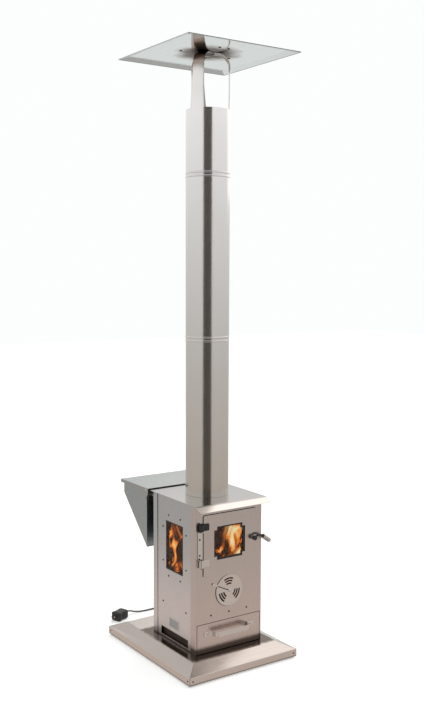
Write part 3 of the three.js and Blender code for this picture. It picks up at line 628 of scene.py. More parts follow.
# The places in the coil's section as (radius, height), in the order the turns take them. The last
# one is outside the coil, where the lead leaves it.
COIL_PLACES = [(39, 3.4), (33, 3.4), (33, 9.4), (33, 15.4), (39, 15.4), (39, 9.4), (45.4, 8)]
TURNS = 5.25
TURN_STEP = 15  # degrees between the coil's points
LEAD_IN = 45  # degrees of the first turn before the first full one
FIRST_CROSSING, CROSSING, BETWEEN_CROSSINGS = 150, 70, 330


def smoothstep(t):
    t = min(1, max(0, t))
    return t * t * (3 - 2 * t)


def coil_points():
    """Turns laid beside and on each other. A turn crosses to its next place a little earlier round
    the coil than the turn before it did, where that place is still free."""
    made = []
    for angle in range(-LEAD_IN, round(360 * TURNS) + 1, TURN_STEP):
        crossings = range(len(COIL_PLACES) - 1)
        starts = [FIRST_CROSSING + BETWEEN_CROSSINGS * k for k in crossings]
        shares = [smoothstep((angle - start) / CROSSING) for start in starts]
        at = Vector(COIL_PLACES[0])
        for k, share in enumerate(shares):
            at += share * (Vector(COIL_PLACES[k + 1]) - Vector(COIL_PLACES[k]))
        turn = math.radians(angle)
        made.append((COIL_AT[0] + at.x * math.cos(turn), COIL_AT[1] + at.x * math.sin(turn), at.y))
    return made


def make_lead():
    """The lead from its strain relief to the plug: one smooth spline through the route and the coil."""
    points = [about_flue(*p) for p in [*LEAD_ROUTE, *coil_points(), *RUN_ROUTE]]
    curve = bpy.data.curves.new("mains_lead", "CURVE")
    curve.dimensions = "3D"
    spline = curve.splines.new("BEZIER")
    spline.bezier_points.add(len(points) - 1)
    for knot, point in zip(spline.bezier_points, points):
        knot.co = point
        knot.handle_left_type = knot.handle_right_type = "AUTO"
    spline.resolution_u = 4
    curve.bevel_depth = CORD_R
    curve.bevel_resolution = 4
    curve.use_fill_caps = True
    return finished(added("mains_lead", curve), "frame", "cord", ["cord_lead", "cord_coil", "cord_run"])


def make_cord_tie():
    """A thin strap pulled round the coil's section, with its loose tongue standing up."""
    bm = bmesh.new()
    wide, high, corner = 3, 6, 3.15  # from the section's middle to a corner's middle, and its radius
    at = about_flue(COIL_AT[0] + 36, COIL_AT[1], 9.4)
    loop = []
    for sx, sz, start in ((1, 1, 0), (-1, 1, 90), (-1, -1, 180), (1, -1, 270)):
        loop += arc(sx * wide, sz * high, corner, start, start + 90, 6)
    loop += [loop[0], (loop[0][0] + 0.6, loop[0][1] + 3), (loop[0][0] + 1.6, loop[0][1] + 6)]
    line = [at + Vector((x * MM, 0, z * MM)) for x, z in loop]
    strip_along(bm, line, 7 * MM, 0.4 * MM, (0, 1, 0))
    return mesh_piece("cord_tie", bm, "frame", "rubber", bevel=0.1 * MM)


def make_strain_relief():
    """The ribbed, tapering sleeve that the lead leaves the rear sheet through."""
    centre = middle("cord_gland")
    place = axis_frame((centre.x, CABINET_REAR, centre.z), (0, 1, 0))
    profile = [(0, -6), (7.5, -6), (7.5, 0.2), (10.6, 0.2), (11, 1), (11, 3.6), (10.4, 4.4), (8, 5.4)]
    ribs = 6
    for i in range(ribs):
        z, r = 7 + 4.2 * i, 7.9 - 0.6 * i
        profile += [(r, z), (r, z + 2.4), (r - 1.3, z + 2.7), (r - 1.3, z + 3.9)]
    profile += [(4.3, 32.6), (3.6, 33.9), (0, 33.9)]
    return turned_piece("strain_relief", mm(*profile), place, 32, "frame", "rubber", ["cord_gland"])


PLUG_TURN = math.radians(203)


def plug_frame():
    """The plug's own frame: X from its cord end towards its contacts, on the floor."""
    return Matrix.Translation(about_flue(-72, 452, 0)) @ Matrix.Rotation(PLUG_TURN, 4, "Z")


def make_plug():
    """The moulded plug: a crowned grip with waisted sides, finger ribs and a tapering sleeve."""
    bm = bmesh.new()
    place = plug_frame()
    middle_z = 18.3
    rows = []
    # Each section: how far from the cord's end, half its width, half its height, how square it is.
    sections = [
        (0, 3.8, 3.8, 1), (3, 4.6, 4.6, 1), (15, 7.2, 7.2, 1), (16.5, 10, 9.5, 0.8), (19, 17, 14.5, 0.55),
        (24, 20.8, 17.2, 0.42), (33, 21.4, 17.8, 0.4), (43, 20, 17.4, 0.4), (54, 19.6, 17.2, 0.4),
        (64, 20.8, 17.7, 0.4), (70, 21.8, 17.9, 0.38), (73, 21.2, 17.4, 0.4), (74, 19.6, 16.2, 0.42),
    ]
    for x, half, high, power in sections:
        points = []
        for k in range(40):
            t = 2 * math.pi * k / 40
            c, s = math.cos(t), math.sin(t)
            y = half * math.copysign(abs(c) ** power, c)
            z = high * math.copysign(abs(s) ** power, s)
            points.append(place @ (Vector((x, y, middle_z + z)) * MM))
        rows.append(ring(bm, points))
    skin(bm, rows, capped=True)
    for x in (40, 45, 50, 55):
        for side in (-1, 1):
            rib = [Vector((x, side * 19.6, middle_z + z)) * MM for z in (-8, 0, 8)]
            sweep(bm, [place @ p for p in rib], 1.1 * MM, 8)
    return mesh_piece("plug_shell", bm, "frame", "plug_plastic", ["plug_body"], smooth=60)


lead = make_lead()
make_cord_tie()
make_strain_relief()
make_plug()

# ---- Flue ---------------------------------------------------------------------------------

STRAP_ANGLES = (90, 210, 330)
STRAP_SPREAD = 16
COLUMN = 2  # degrees between the tube's columns
SEAM_AT = 62  # where the lengthwise lock seam runs, behind the flue
RIM_Z = 1904 * MM
BEND_Z = 2050 * MM
STRAP_TAB = 24 * MM
STRAP_RIVET = 30 * MM  # from the flue's axis


def seam_rise(angle):
    """How far the folded lock seam stands out of the tube."""
    off = abs((angle - SEAM_AT + 180) % 360 - 180)
    return 0.9 * MM * max(0.0, min(1.0, (5 - off) / 1.5))


def tube_point(radius, angle, z):
    t = math.radians(angle)
    r = radius + (seam_rise(angle) if radius > FLUE_R - 0.5 * MM else 0)
    return Vector((FLUE_AXIS.x + r * math.cos(t), FLUE_AXIS.y + r * math.sin(t), z))


def tube(bm, profile):
    angles = range(0, 360, COLUMN)
    skin(bm, [ring(bm, [tube_point(radius, angle, z) for angle in angles]) for radius, z in profile])


def bead_profile(z):
    """A rolled bead, half round, as the seams have above and below them."""
    half = 3.2 * MM
    steps = [-1, -0.8, -0.5, 0, 0.5, 0.8, 1]
    return [(FLUE_R + BEAD * math.sqrt(max(0, 1 - s * s)), z + s * half) for s in steps]


def flue_profile(node, jointed_below, spigot):
    low, high = BOX[node][0].z, BOX[node][1].z
    inside = FLUE_R - 1.0 * MM
    profile = [(inside, low), (FLUE_R, low)]
    if jointed_below:
        profile += bead_profile(low + 6 * MM)
    if not spigot:
        return profile
    end = high - spigot
    narrow = inside - 0.3 * MM
    profile += bead_profile(end - 6 * MM)
    bore = narrow - 1 * MM
    profile += [(FLUE_R, end), (narrow, end), (narrow, high), (bore, high), (bore, end - 4 * MM)]
    return [*profile, (inside, end - 8 * MM), (inside, low)]


def make_flue_section(node, jointed_below):
    bm = bmesh.new()
    tube(bm, flue_profile(node, jointed_below, 40 * MM))
    return mesh_piece(node + "_tube", bm, "frame", "flue_steel", [node], smooth=35)


def strap_point(radius, z, across, strap_angle):
    """A point on a strap, which keeps its width as it bends in to the flue's axis."""
    t = math.radians(strap_angle)
    depth = math.sqrt(max(1e-9, radius * radius - across * across))
    x = depth * math.cos(t) - across * math.sin(t)
    y = depth * math.sin(t) + across * math.cos(t)
    return Vector((FLUE_AXIS.x + x, FLUE_AXIS.y + y, z))


def make_upper_section():
    """The top section, whose wall is cut away above its rim but for the straps."""
    bm = bmesh.new()
    low, top = BOX["flue_upper"]
    wall = 1.0 * MM
    rim = [(FLUE_R, RIM_Z), (FLUE_R - wall, RIM_Z), (FLUE_R - wall, low.z)]
    tube(bm, flue_profile("flue_upper", True, 0) + rim)
    bend = top.z - BEND_Z
    path = [(FLUE_R, RIM_Z - 6 * MM), (FLUE_R, RIM_Z), (FLUE_R, (RIM_Z + BEND_Z) / 2), (FLUE_R, BEND_Z)]
    for k in range(1, 13):
        t = math.pi / 2 * k / 12
        path.append((FLUE_R - bend + bend * math.cos(t), BEND_Z + bend * math.sin(t)))
    path.append((STRAP_TAB, top.z))
    half = FLUE_R * math.sin(math.radians(STRAP_SPREAD))
    lanes = 12
    for angle in STRAP_ANGLES:
        outer, inner = [], []
        for i, (radius, z) in enumerate(path):
            before, after = path[max(i - 1, 0)], path[min(i + 1, len(path) - 1)]
            along = Vector((after[0] - before[0], after[1] - before[1])).normalized()
            flare = 1 + 0.28 * max(0, 1 - abs(z - RIM_Z) / (5 * MM)) if i < 2 else 1
            across = [half * flare * (2 * k / lanes - 1) for k in range(lanes + 1)]
            outer.append(ring(bm, [strap_point(radius, z, s, angle) for s in across]))
            r, h = radius - wall * along.y, z + wall * along.x
            inner.append(ring(bm, [strap_point(r, h, s, angle) for s in across]))
        for layer in (outer, inner):
            for a, b in zip(layer, layer[1:]):
                bridge(bm, a, b, closed=False)
        for edge in (0, lanes):
            bridge(bm, [row[edge] for row in outer], [row[edge] for row in inner], closed=False)
        for end in (0, -1):
            bridge(bm, outer[end], inner[end], closed=False)
    return mesh_piece("flue_upper_tube", bm, "frame", "flue_steel", ["flue_upper"], smooth=35)


def make_deflector_rivets():
    """Dome rivets through the deflector into the straps' tabs."""
    bm = bmesh.new()
    top, under = BOX["heat_deflector"][1].z, BOX["flue_upper"][1].z - 1.0 * MM
    for angle in STRAP_ANGLES:
        at = strap_point(STRAP_RIVET, top, 0, angle)
        low = strap_point(STRAP_RIVET, under, 0, angle)
        rivet_head(bm, at - Vector((0, 0, 0.6 * MM)), (0, 0, 1), 3.4 * MM)
        rivet_head(bm, low, (0, 0, -1), 3.4 * MM)
    return mesh_piece("deflector_rivets", bm, "frame", "bright_steel")


make_flue_section("flue_lower", False)
make_flue_section("flue_middle", True)
make_upper_section()
make_deflector_rivets()

# ---- Door, hinge and handle ---------------------------------------------------------------

HINGE_AXIS = middle("hinge_pin_upper")


def make_hinge_arm(node, slot):
    """A folded arm: an eye rolled round the pin, and a tab with rounded corners and two rivets."""
    bm = bmesh.new()
    low, high = BOX[node]
    eye, bore, strip = 8 * MM, 3.3 * MM, 3 * MM
    x, y = HINGE_AXIS.x, HINGE_AXIS.y
    face = DOOR_FACE - 0.3 * MM
    place = Matrix.Translation((x, y, low.z))
    height = high.z - low.z
    lathe(bm, [(bore, 0), (eye, 0), (eye, height), (bore, height), (bore, 0)], place, 40)
    inner = 3 * MM
    tab = [(x + 2 * MM, low.z), *arc(high.x - inner, low.z + inner, inner, -90, 0)]
    tab += [*arc(high.x - inner, high.z - inner, inner, 0, 90), (x + 2 * MM, high.z)]
    turn = Matrix(((1, 0, 0, 0), (0, 0, 1, face - strip), (0, 1, 0, 0), (0, 0, 0, 1)))
    plate(bm, tab, turn, strip)
    for z in (low.z + height * 0.28, low.z + height * 0.72):
        rivet_head(bm, (x + 23 * MM, face - strip, z), (0, -1, 0), 2.6 * MM)
    return mesh_piece(node + "_folded", bm, "door", slot, [node], bevel=0.35 * MM)


def make_hinge_pin(node):
    low, high = BOX[node]
    up = 1 if node.endswith("upper") else -1
    length = high.z - low.z
    start = high.z if up > 0 else low.z
    place = axis_frame((HINGE_AXIS.x, HINGE_AXIS.y, start), (0, 0, -up))
    head, shaft, thick = 5 * MM, 3 * MM, 2.5 * MM
    profile = [(0, 0), (head - 1.2 * MM, 0), (head, 0.9 * MM), (head, thick), (shaft, thick)]
    profile += [(shaft, length - 1.2 * MM), (shaft - 1 * MM, length), (0, length)]
    return turned_piece(node + "_turned", profile, place, 32, "door", "black_metal", [node])


HANDLE = middle("latch_shaft")
ARM_Y = BOX["handle_arm"][0].y + 6 * MM
ARM_ROUTE = [(5, 4), (13, 8), (24, 7), (34, 3), (50, -8)]


def handle_line():
    return smooth_line([(HANDLE.x + x * MM, ARM_Y, HANDLE.z + z * MM) for x, z in ARM_ROUTE], 14)


def make_handle_arm():
    """The bent rod of the handle and the dark boss that clamps it to the latch shaft."""
    bm = bmesh.new()
    place = axis_frame((HANDLE.x, ARM_Y + 6 * MM, HANDLE.z), (0, -1, 0))
    lathe(bm, mm((5.3, 0), (7.6, 0), (8, 0.6), (8, 10), (7, 11.6), (4, 12), (0, 12)), place, 40)
    sweep(bm, handle_line(), 3.5 * MM, 20)
    grub = (HANDLE.x - 8 * MM, ARM_Y, HANDLE.z)
    rivet_head(bm, grub, (-1, 0, 0), 1.6 * MM)
    return mesh_piece("handle_rod", bm, "latch", "black_metal", ["handle_arm"])


def make_handle_grip():
    """The cool-touch grip: a coil of wire wound on the end of the rod, with a rounded cap."""
    bm = bmesh.new()
    line = handle_line()
    total = sum((b - a).length for a, b in zip(line, line[1:]))
    kept, run = [], 0
    for a, b in zip(line, line[1:]):
        run += (b - a).length
        if run > 0.62 * total:
            kept.append(b)
    along = (kept[-1] - kept[0]).normalized()
    start = kept[0]
    length = 34 * MM
    side = along.cross(Vector((0, 1, 0))).normalized()
    up = side.cross(along)
    turns, per_turn = 9, 20
    coil = []
    for i in range(turns * per_turn + 1):
        t = i / (turns * per_turn)
        angle = 2 * math.pi * turns * t
        coil.append(start + along * length * t + 6.9 * MM * (math.cos(angle) * side + math.sin(angle) * up))
    sweep(bm, coil, 1.75 * MM, 10)
    place = axis_frame(start + along * (length - 1 * MM), along)
    lathe(bm, mm((0, -1), (5.2, -1), (7.4, 0.5), (7.8, 2), (6.4, 3.9), (0, 4.8)), place, 32)
    return mesh_piece("handle_spring_grip", bm, "latch", "bright_steel", ["handle_grip"], smooth=60)


def make_latch_shaft():
    low, high = BOX["latch_shaft"]
    length = high.y - low.y
    place = axis_frame((HANDLE.x, low.y, HANDLE.z), (0, 1, 0))
    r, cut = 5 * MM, 0.8 * MM
    profile = [(0, 0), (r - cut, 0), (r, cut), (r, length - cut), (r - cut, length), (0, length)]
    name, slot = "latch_shaft_turned", "bright_steel"
    return turned_piece(name, profile, place, 32, "latch", slot, ["latch_shaft"])


# Both arms are the same part: the upper one is black as painted shade, the lower one bright steel.
make_hinge_arm("hinge_arm_upper", "black_metal")
make_hinge_arm("hinge_arm_lower", "bright_steel")
make_hinge_pin("hinge_pin_upper")
make_hinge_pin("hinge_pin_lower")
make_handle_arm()
make_handle_grip()
make_latch_shaft()

# ---- Air register and drawer handle -------------------------------------------------------

REGISTER = middle("air_register_rivet")
REGISTER_R = 55 * MM
SLOT_RADII, SLOT_WIDTH = (21, 30, 39), 5.5
SLOT_FIRST, SLOT_SPREAD = 95, 52
LEVER = 155  # degrees round the disc, where its lever points


def make_register():
    """The slotted disc, cut from sheet with its lever tab, lying on the front sheet."""
    bm = bmesh.new()
    back = BOX["air_register_disc"][1].y
    thick = 1.5 * MM
    turn = Matrix(((1, 0, 0, REGISTER.x), (0, 0, 1, back - thick), (0, 1, 0, REGISTER.z), (0, 0, 0, 1)))
    edge = REGISTER_R / MM
    rows = [3.4, *(r for inner in SLOT_RADII for r in (inner, inner + SLOT_WIDTH)), edge - 0.5, edge]
    step = 2
    slotted = set()
    for first in (SLOT_FIRST, SLOT_FIRST + 120, SLOT_FIRST + 240):
        start = round((first - SLOT_SPREAD / 2) / step)
        slotted |= {k % (360 // step) for k in range(start, start + SLOT_SPREAD // step)}

    def is_slot(row, column):
        return row in (1, 3, 5) and column in slotted

    count = 360 // step
    grid = {}
    for layer, y in ((0, 0), (1, thick)):
        for i, r in enumerate(rows):
            for k in range(count):
                t = math.radians(k * step)
                at = Vector((r * MM * math.cos(t), r * MM * math.sin(t), y))
                grid[layer, i, k] = bm.verts.new(turn @ at)

    def wall(a, b):
        bm.faces.new([grid[0, *a], grid[0, *b], grid[1, *b], grid[1, *a]])

    for i in range(len(rows) - 1):
        for k in range(count):
            n = (k + 1) % count
            if is_slot(i, k):
                wall((i, k), (i, n))
                wall((i + 1, k), (i + 1, n))
                if not is_slot(i, k - 1 if k else count - 1):
                    wall((i, k), (i + 1, k))
                if not is_slot(i, n):
                    wall((i, n), (i + 1, n))
                continue
            for layer in (0, 1):
                corners = ((i, k), (i, n), (i + 1, n), (i + 1, k))
                bm.faces.new([grid[layer, *corner] for corner in corners])
    for k in range(count):
        n = (k + 1) % count
        wall((0, k), (0, n))
        wall((len(rows) - 1, k), (len(rows) - 1, n))
    outwards = Matrix.Rotation(-math.radians(LEVER), 4, "Y")
    upright = Matrix.Rotation(math.pi / 2, 4, "X")
    tab_place = Matrix.Translation((REGISTER.x, back - 2 * thick, REGISTER.z)) @ outwards @ upright
    half, root, tip = 4 * MM, 49 * MM, 74 * MM
    outline = [(root, -half), (tip, -half), *arc(tip, 0, half, -70, 70), (tip, half), (root, half)]
    plate(bm, [(x, -y) for x, y in outline], tab_place @ Matrix.Translation((0, 0, -1.45 * MM)), 1.4 * MM)
    disc = ["air_register_disc"]
    return mesh_piece("air_register_plate", bm, "air_register", "bright_steel", disc, bevel=0.2 * MM)


def make_register_rivet():
    low, high = BOX["air_register_rivet"]
    place = axis_frame((REGISTER.x, low.y, REGISTER.z), (0, 1, 0))
    length = high.y - low.y
    head, pin = 6 * MM, 3 * MM
    profile = [*mm((0, 0), (3.4, 0.1), (5.2, 0.7)), (head, 1.6 * MM), (head, 2 * MM), (pin, 2 * MM)]
    profile += [(pin, length - 1.6 * MM), (head, length - 1.6 * MM), (head, length - 0.4 * MM), (0, length)]
    name, node = "air_register_pivot", "air_register_rivet"
    return turned_piece(name, profile, place, 36, "frame", "bright_steel", [node])


def make_drawer_handle():
    """A bow bent from strip, on two screws, its ends rounded off."""
    bm = bmesh.new()
    low, high = BOX["drawer_handle"]
    thick = 2 * MM
    back, out = high.y - thick / 2, low.y + thick / 2
    z = (low.z + high.z) / 2
    half = [(-104, back), (-96, back), (-86, back), (-79, back), (-74, back - 4 * MM), (-68, out + 5 * MM)]
    half += [(-62, out + 0.6 * MM), (-54, out), (-27, out)]
    points = [Vector((x * MM, y, z)) for x, y in half] + [Vector((0, out, z))]
    points += [Vector((-x * MM, y, z)) for x, y in reversed(half)]
    strip_along(bm, smooth_line(points, 5), high.z - low.z, thick, (0, 0, 1))
    node = ["drawer_handle"]
    mesh_piece("drawer_bow_handle", bm, "ash_drawer", "bright_steel", node, bevel=0.5 * MM)
    screws = bmesh.new()
    for x in (-91, 91):
        screw_head(screws, (x * MM, back - thick / 2, z), (0, -1, 0), 4 * MM, 2 * MM)
    mesh_piece("drawer_handle_screws", screws, "ash_drawer", "bright_steel")


def make_register_shadow_ring():
    """A black ring like a seal under the disc, set off to one side: painted shade, which shows as a crescent
    on the disc's open side.
    """
    bm = bmesh.new()
    back = BOX["air_register_disc"][1].y
    place = axis_frame((REGISTER.x - 1.8 * MM, back + 0.05 * MM, REGISTER.z - 0.5 * MM), (0, 1, 0))
    r, bore, thick = REGISTER_R + 0.5 * MM, 47 * MM, 0.3 * MM
    lathe(bm, [(bore, 0), (r, 0), (r, thick), (bore, thick), (bore, 0)], place, 72)
    return mesh_piece("air_register_shadow_ring", bm, "frame", "black_metal")


def make_register_lever_line():
    """A black strip along the lever, from the disc's rim to its pivot: painted shadow of the lever."""
    bm = bmesh.new()
    y = BOX["air_register_disc"][0].y - 0.2 * MM
    t = math.radians(LEVER)
    along, down = Vector((math.cos(t), 0, math.sin(t))), Vector((-math.sin(t), 0, math.cos(t)))
    start = Vector((REGISTER.x, y + 0.9 * MM, REGISTER.z)) + down * 1 * MM
    strip_along(bm, [start + along * d * MM for d in (7, 22, 38, 55)], 1.4 * MM, 3 * MM, (0, 1, 0))
    return mesh_piece("air_register_lever_shadow", bm, "air_register", "black_metal")


make_register()
make_register_rivet()
make_register_shadow_ring()
make_register_lever_line()
make_drawer_handle()

# ---- Feet, lid pins and fixings -----------------------------------------------------------


def make_foot(node):
    """A levelling foot: a ribbed rubber pad moulded on a threaded stud."""
    low, high = BOX[node]
    centre = (low + high) / 2
    r = (high.x - low.x) / 2
    pad = 8.7 * MM
    ribs = ((1.4, 0), (0.3, 1), (0, 2.2), (0.7, 3), (0, 3.8), (0.7, 4.6), (0, 5.4))
    profile = [(0, 0), *((r - inset * MM, height * MM) for inset, height in ribs)]
    profile += [(r - 0.6 * MM, pad - 1 * MM), (r - 2 * MM, pad), (3 * MM, pad)]
    z = pad
    while z < high.z - low.z - 1.2 * MM:
        profile += [(2.6 * MM, z + 0.3 * MM), (3 * MM, z + 0.7 * MM)]
        z += 1 * MM
    profile += [(2.4 * MM, high.z), (0, high.z)]
    place = Matrix.Translation((centre.x, centre.y, 0))
    return turned_piece(node + "_pad", profile, place, 40, "frame", "rubber", [node])


def make_lid_pin(node):
    low, high = BOX[node]
    centre = (low + high) / 2
    side = 1 if centre.x > 0 else -1
    head_end = high.x if side > 0 else low.x
    place = axis_frame((head_end, centre.y, centre.z), (-side, 0, 0))
    length = high.x - low.x
    profile = [(0, 0), (2.6 * MM, 0.2 * MM), (4 * MM, 0.9 * MM), (4.5 * MM, 2 * MM), (2.5 * MM, 2 * MM)]
    profile += [(2.5 * MM, length), (0, length)]
    return turned_piece(node + "_turned", profile, place, 32, "frame", "bright_steel", [node])


SIDE_SCREWS = [(-38, 504), (38, 504), (-75, 457), (75, 457), (-75, 335), (75, 335), (-38, 286.5), (38, 286.5)]
SIDE_SCREWS += [(-75, 186), (75, 186)]


def make_side_screws():
    for name, side in (("left", -1), ("right", 1)):
        bm = bmesh.new()
        for y, z in SIDE_SCREWS:
            at = about_flue(0, y, z)
            at.x = side * SIDE_FACE
            screw_head(bm, at, (side, 0, 0), 3.2 * MM, 1.6 * MM)
        mesh_piece("side_screws_" + name, bm, "frame", "black_metal")


def make_front_fixings():
    bm = bmesh.new()
    for x in (-75, 0, 75):
        screw_head(bm, (x * MM, CABINET_FRONT, 184 * MM), (0, -1, 0), 3.2 * MM, 1.6 * MM)
    plate_low, plate_high = BOX["hinge_plate"]
    for share in (0.17, 0.72):
        z = plate_low.z + share * (plate_high.z - plate_low.z)
        rivet_head(bm, (plate_low.x + 8 * MM, CABINET_FRONT - 2.3 * MM, z), (0, -1, 0), 3.2 * MM)
    mesh_piece("front_fixings", bm, "frame", "black_metal")


def make_plinth_rivets():
    """Rivets that tie the lip to the corner gussets, two on each side of a corner."""
    bm = bmesh.new()
    low, high = BOX["base_plinth"]
    z = 19 * MM
    inset = 13 * MM
    for sx in (-1, 1):
        for y in (low.y + inset, high.y - inset):
            rivet_head(bm, (sx * high.x, y, z), (sx, 0, 0), 2.8 * MM)
        for y, out in ((low.y, -1), (high.y, 1)):
            rivet_head(bm, (sx * (high.x - inset), y, z), (0, out, 0), 2.8 * MM)
    mesh_piece("plinth_rivets", bm, "frame", "black_metal")


def make_rear_fixings():
    """Screws of the feed neck's flange and rivets of the hopper's hangers."""
    bm = bmesh.new()
    low, high = BOX["feed_neck"]
    flange = CABINET_REAR + 2.3 * MM
    for sx in (-1, 1):
        for z in (low.z + 6.5 * MM, (low.z + high.z) / 2, high.z - 6.5 * MM):
            screw_head(bm, (sx * (high.x - 6.5 * MM), flange, z), (0, 1, 0), 3 * MM, 1.5 * MM)
    for node in ("hopper_hanger_left", "hopper_hanger_right"):
        centre = middle(node)
        rivet_head(bm, (centre.x, CABINET_REAR + 2.3 * MM, centre.z - 2 * MM), (0, 1, 0), 2.6 * MM)
    mesh_piece("rear_fixings", bm, "frame", "bright_steel")


def make_hopper_rivets():
    """The rivets down the hopper's welded corners and beside its lid's pivots."""
    bm = bmesh.new()
    low, high = BOX["hopper_shell"]
    for sx in (-1, 1):
        for y, z in ((34, 46), (92, 46), (150, 46), (34, 120)):
            at = Vector((sx * high.x, low.y + (y + 8) * MM, high.z - z * MM))
            rivet_head(bm, at, (sx, 0, 0), 2.4 * MM)
    mesh_piece("hopper_rivets", bm, "frame", "bright_steel")


for node_name in frame["nodes"]:
    if node_name.startswith("foot_"):
        make_foot(node_name)
    elif node_name.startswith("lid_pin_"):
        make_lid_pin(node_name)


def make_blank_plate():
    """An unmarked plate let into the left side low down: a bright rim round a darker field."""
    low, high = about_flue(0, -31, 103), about_flue(0, 35, 142)
    x = -SIDE_FACE - 0.1 * MM
    place = Matrix(((0, 0, -1, x), (1, 0, 0, 0), (0, 1, 0, 0), (0, 0, 0, 1)))
    rim, corner = 4.5 * MM, 2 * MM

    def outline(inset, radius):
        near = inset + radius
        y0, y1, z0, z1 = low.y + near, high.y - near, low.z + near, high.z - near
        corners = ((y1, z1, 0), (y0, z1, 90), (y0, z0, 180), (y1, z0, 270))
        return [point for y, z, start in corners for point in arc(y, z, radius, start, start + 90, 4)]

    bm = bmesh.new()
    flat_ring(bm, outline(0, corner), outline(rim, corner / 2), place, 0.7 * MM)
    mesh_piece("side_plate_rim", bm, "frame", "bright_steel", bevel=0.2 * MM)
    field = bmesh.new()
    plate(field, outline(rim + 0.1 * MM, corner / 2), place, 0.25 * MM)
    mesh_piece("side_plate_field", field, "frame", "hopper_steel")


def make_door_shadow_strip():
    """A black strip behind the door, like a rope seal, above it and at its hinge side only: painted shade in
    the gap round the door.
    """
    bm = bmesh.new()
    low, high = BOX["door_panel"]
    out = 1.2 * MM
    y = high.y + 0.02 * MM
    corners = [(high.x - 4 * MM, high.z), (low.x, high.z), (low.x, low.z + 4 * MM)]
    (x1, z1), (x0, _), (_, z0) = corners
    line = [Vector((x1, y, z1 + out / 2)), Vector((x0 + 8 * MM, y, z1 + out / 2))]
    line += [Vector((x, y, z)) for x, z in arc(x0 + 6 * MM, z1 - 6 * MM, 6 * MM + out / 2, 90, 180, 6)]
    line += [Vector((x0 - out / 2, y, z1 - 8 * MM)), Vector((x0 - out / 2, y, z0))]
    strip_along(bm, line, 0.5 * MM, 2 * out, (0, 1, 0))
    return mesh_piece("door_shadow_strip", bm, "door", "rubber")


def make_mitre_seams():
    """The dark seams where the plinth's bevels and lips meet at its corners."""
    bm = bmesh.new()
    low, high = BOX["base_plinth"]
    lip, bevel = 31.5 * MM, 51 * MM
    for sx in (-1, 1):
        for sy, edge in ((-1, low.y), (1, high.y)):
            foot = Vector((sx * high.x, edge, low.z + 1 * MM))
            bend = Vector((sx * high.x, edge, lip))
            top = Vector((sx * (high.x - bevel), edge - sy * bevel, high.z))
            inward = Vector((-sx, -sy, 0)) * 0.35 * MM
            for a, b in ((foot, bend), (bend, top)):
                sweep(bm, [a + inward, a.lerp(b, 0.5) + inward, b + inward], 0.55 * MM, 8)
    return mesh_piece("plinth_seams", bm, "frame", "inner_steel")


def make_deflector_bolts():
    """Blackened bolt heads under the deflector, through which its stiffener is fixed."""
    bm = bmesh.new()
    under = BOX["heat_deflector"][1].z - 1.2 * MM
    for x, y in ((-99.4, 17.2), (99.4, 17.2), (-18, -96), (18, -96)):
        at = about_flue(x, y, 0)
        at.z = under
        rivet_head(bm, at, (0, 0, -1), 4.5 * MM)
    return mesh_piece("deflector_bolts", bm, "frame", "black_metal")


def make_glass_border(name, place, window, notch, print_width, body):
    """The black ceramic print round a window, as a ring on the glass."""
    half, low, high = window
    outer = notched(half + 1 * MM, low - 1 * MM, high + 1 * MM, notch)
    inner = notched(half - print_width, low + print_width, high - print_width, notch)
    bm = bmesh.new()
    flat_ring(bm, outer, inner, place, 0.2 * MM)
    mesh_piece(name, bm, body, "black_metal")


def notched(half, low, high, notch):
    """A rectangle with a square notch at each corner, anticlockwise from its lower left."""
    n = notch
    made = [(-half, low + n), (-half + n, low + n), (-half + n, low), (half - n, low), (half - n, low + n)]
    made += [(half, low + n), (half, high - n), (half - n, high - n), (half - n, high), (-half + n, high)]
    return [*made, (-half + n, high - n), (-half, high - n)]


# Half a window's width, its foot and its top.
DOOR_WINDOW = (65 * MM, 375 * MM, 491 * MM)
SIDE_WINDOW = (55 * MM, 309 * MM, 483 * MM)


def make_glass_borders():
    front = BOX["door_glass"][0].y
    place = Matrix(((1, 0, 0, 0), (0, 0, -1, front), (0, 1, 0, 0), (0, 0, 0, 1)))
    make_glass_border("door_glass_border", place, DOOR_WINDOW, 12 * MM, 6 * MM, "door")
    for name, side in (("left", -1), ("right", 1)):
        face = BOX["side_glass_" + name][1 if side > 0 else 0].x
        place = Matrix(((0, 0, side, face), (1, 0, 0, FLUE_AXIS.y), (0, 1, 0, 0), (0, 0, 0, 1)))
        make_glass_border("side_glass_border_" + name, place, SIDE_WINDOW, 0.5 * MM, 5 * MM, "frame")


def make_deflector_hem():
    """The rolled edge that stiffens the deflector's rim. Its front side is black: painted shade along that
    edge.
    """
    low, high = BOX["heat_deflector"]
    r = 1.7 * MM
    x, y, z = high.x - r, (high.y - low.y) / 2 - r, low.z + r
    corners = [Vector((sx * x, FLUE_AXIS.y + sy * y, z)) for sx, sy in ((-1, -1), (1, -1), (1, 1), (-1, 1))]
    front, *others = zip(corners, [*corners[1:], corners[0]])
    for name, sides, material in (
        ("deflector_front_hem_shaded", [front], "black_metal"),
        ("deflector_hem", others, "hopper_steel"),
    ):
        bm = bmesh.new()
        for a, b in sides:
            sweep(bm, [a, a.lerp(b, 0.5), b], r, 10)
        mesh_piece(name, bm, "frame", material)


make_glass_borders()
make_deflector_hem()
make_blank_plate()
make_door_shadow_strip()
make_mitre_seams()
make_deflector_bolts()
make_side_screws()
make_front_fixings()
make_plinth_rivets()
make_rear_fixings()
make_hopper_rivets()

# ---- CAD nodes that stay ------------------------------------------------------------------

ROUNDING = {"base_plinth": 1.4, "top_plate": 0.7, "hopper_lid": 0.6, "hopper_shell": 0.6, "drawer_front": 0.6}
ROUNDING |= {"door_panel": 0.7, "front_sheet": 0.6, "rear_sheet": 0.6, "heat_deflector": 0.5, "burn_pot": 0.9}
DEFAULT_ROUNDING = 0.3


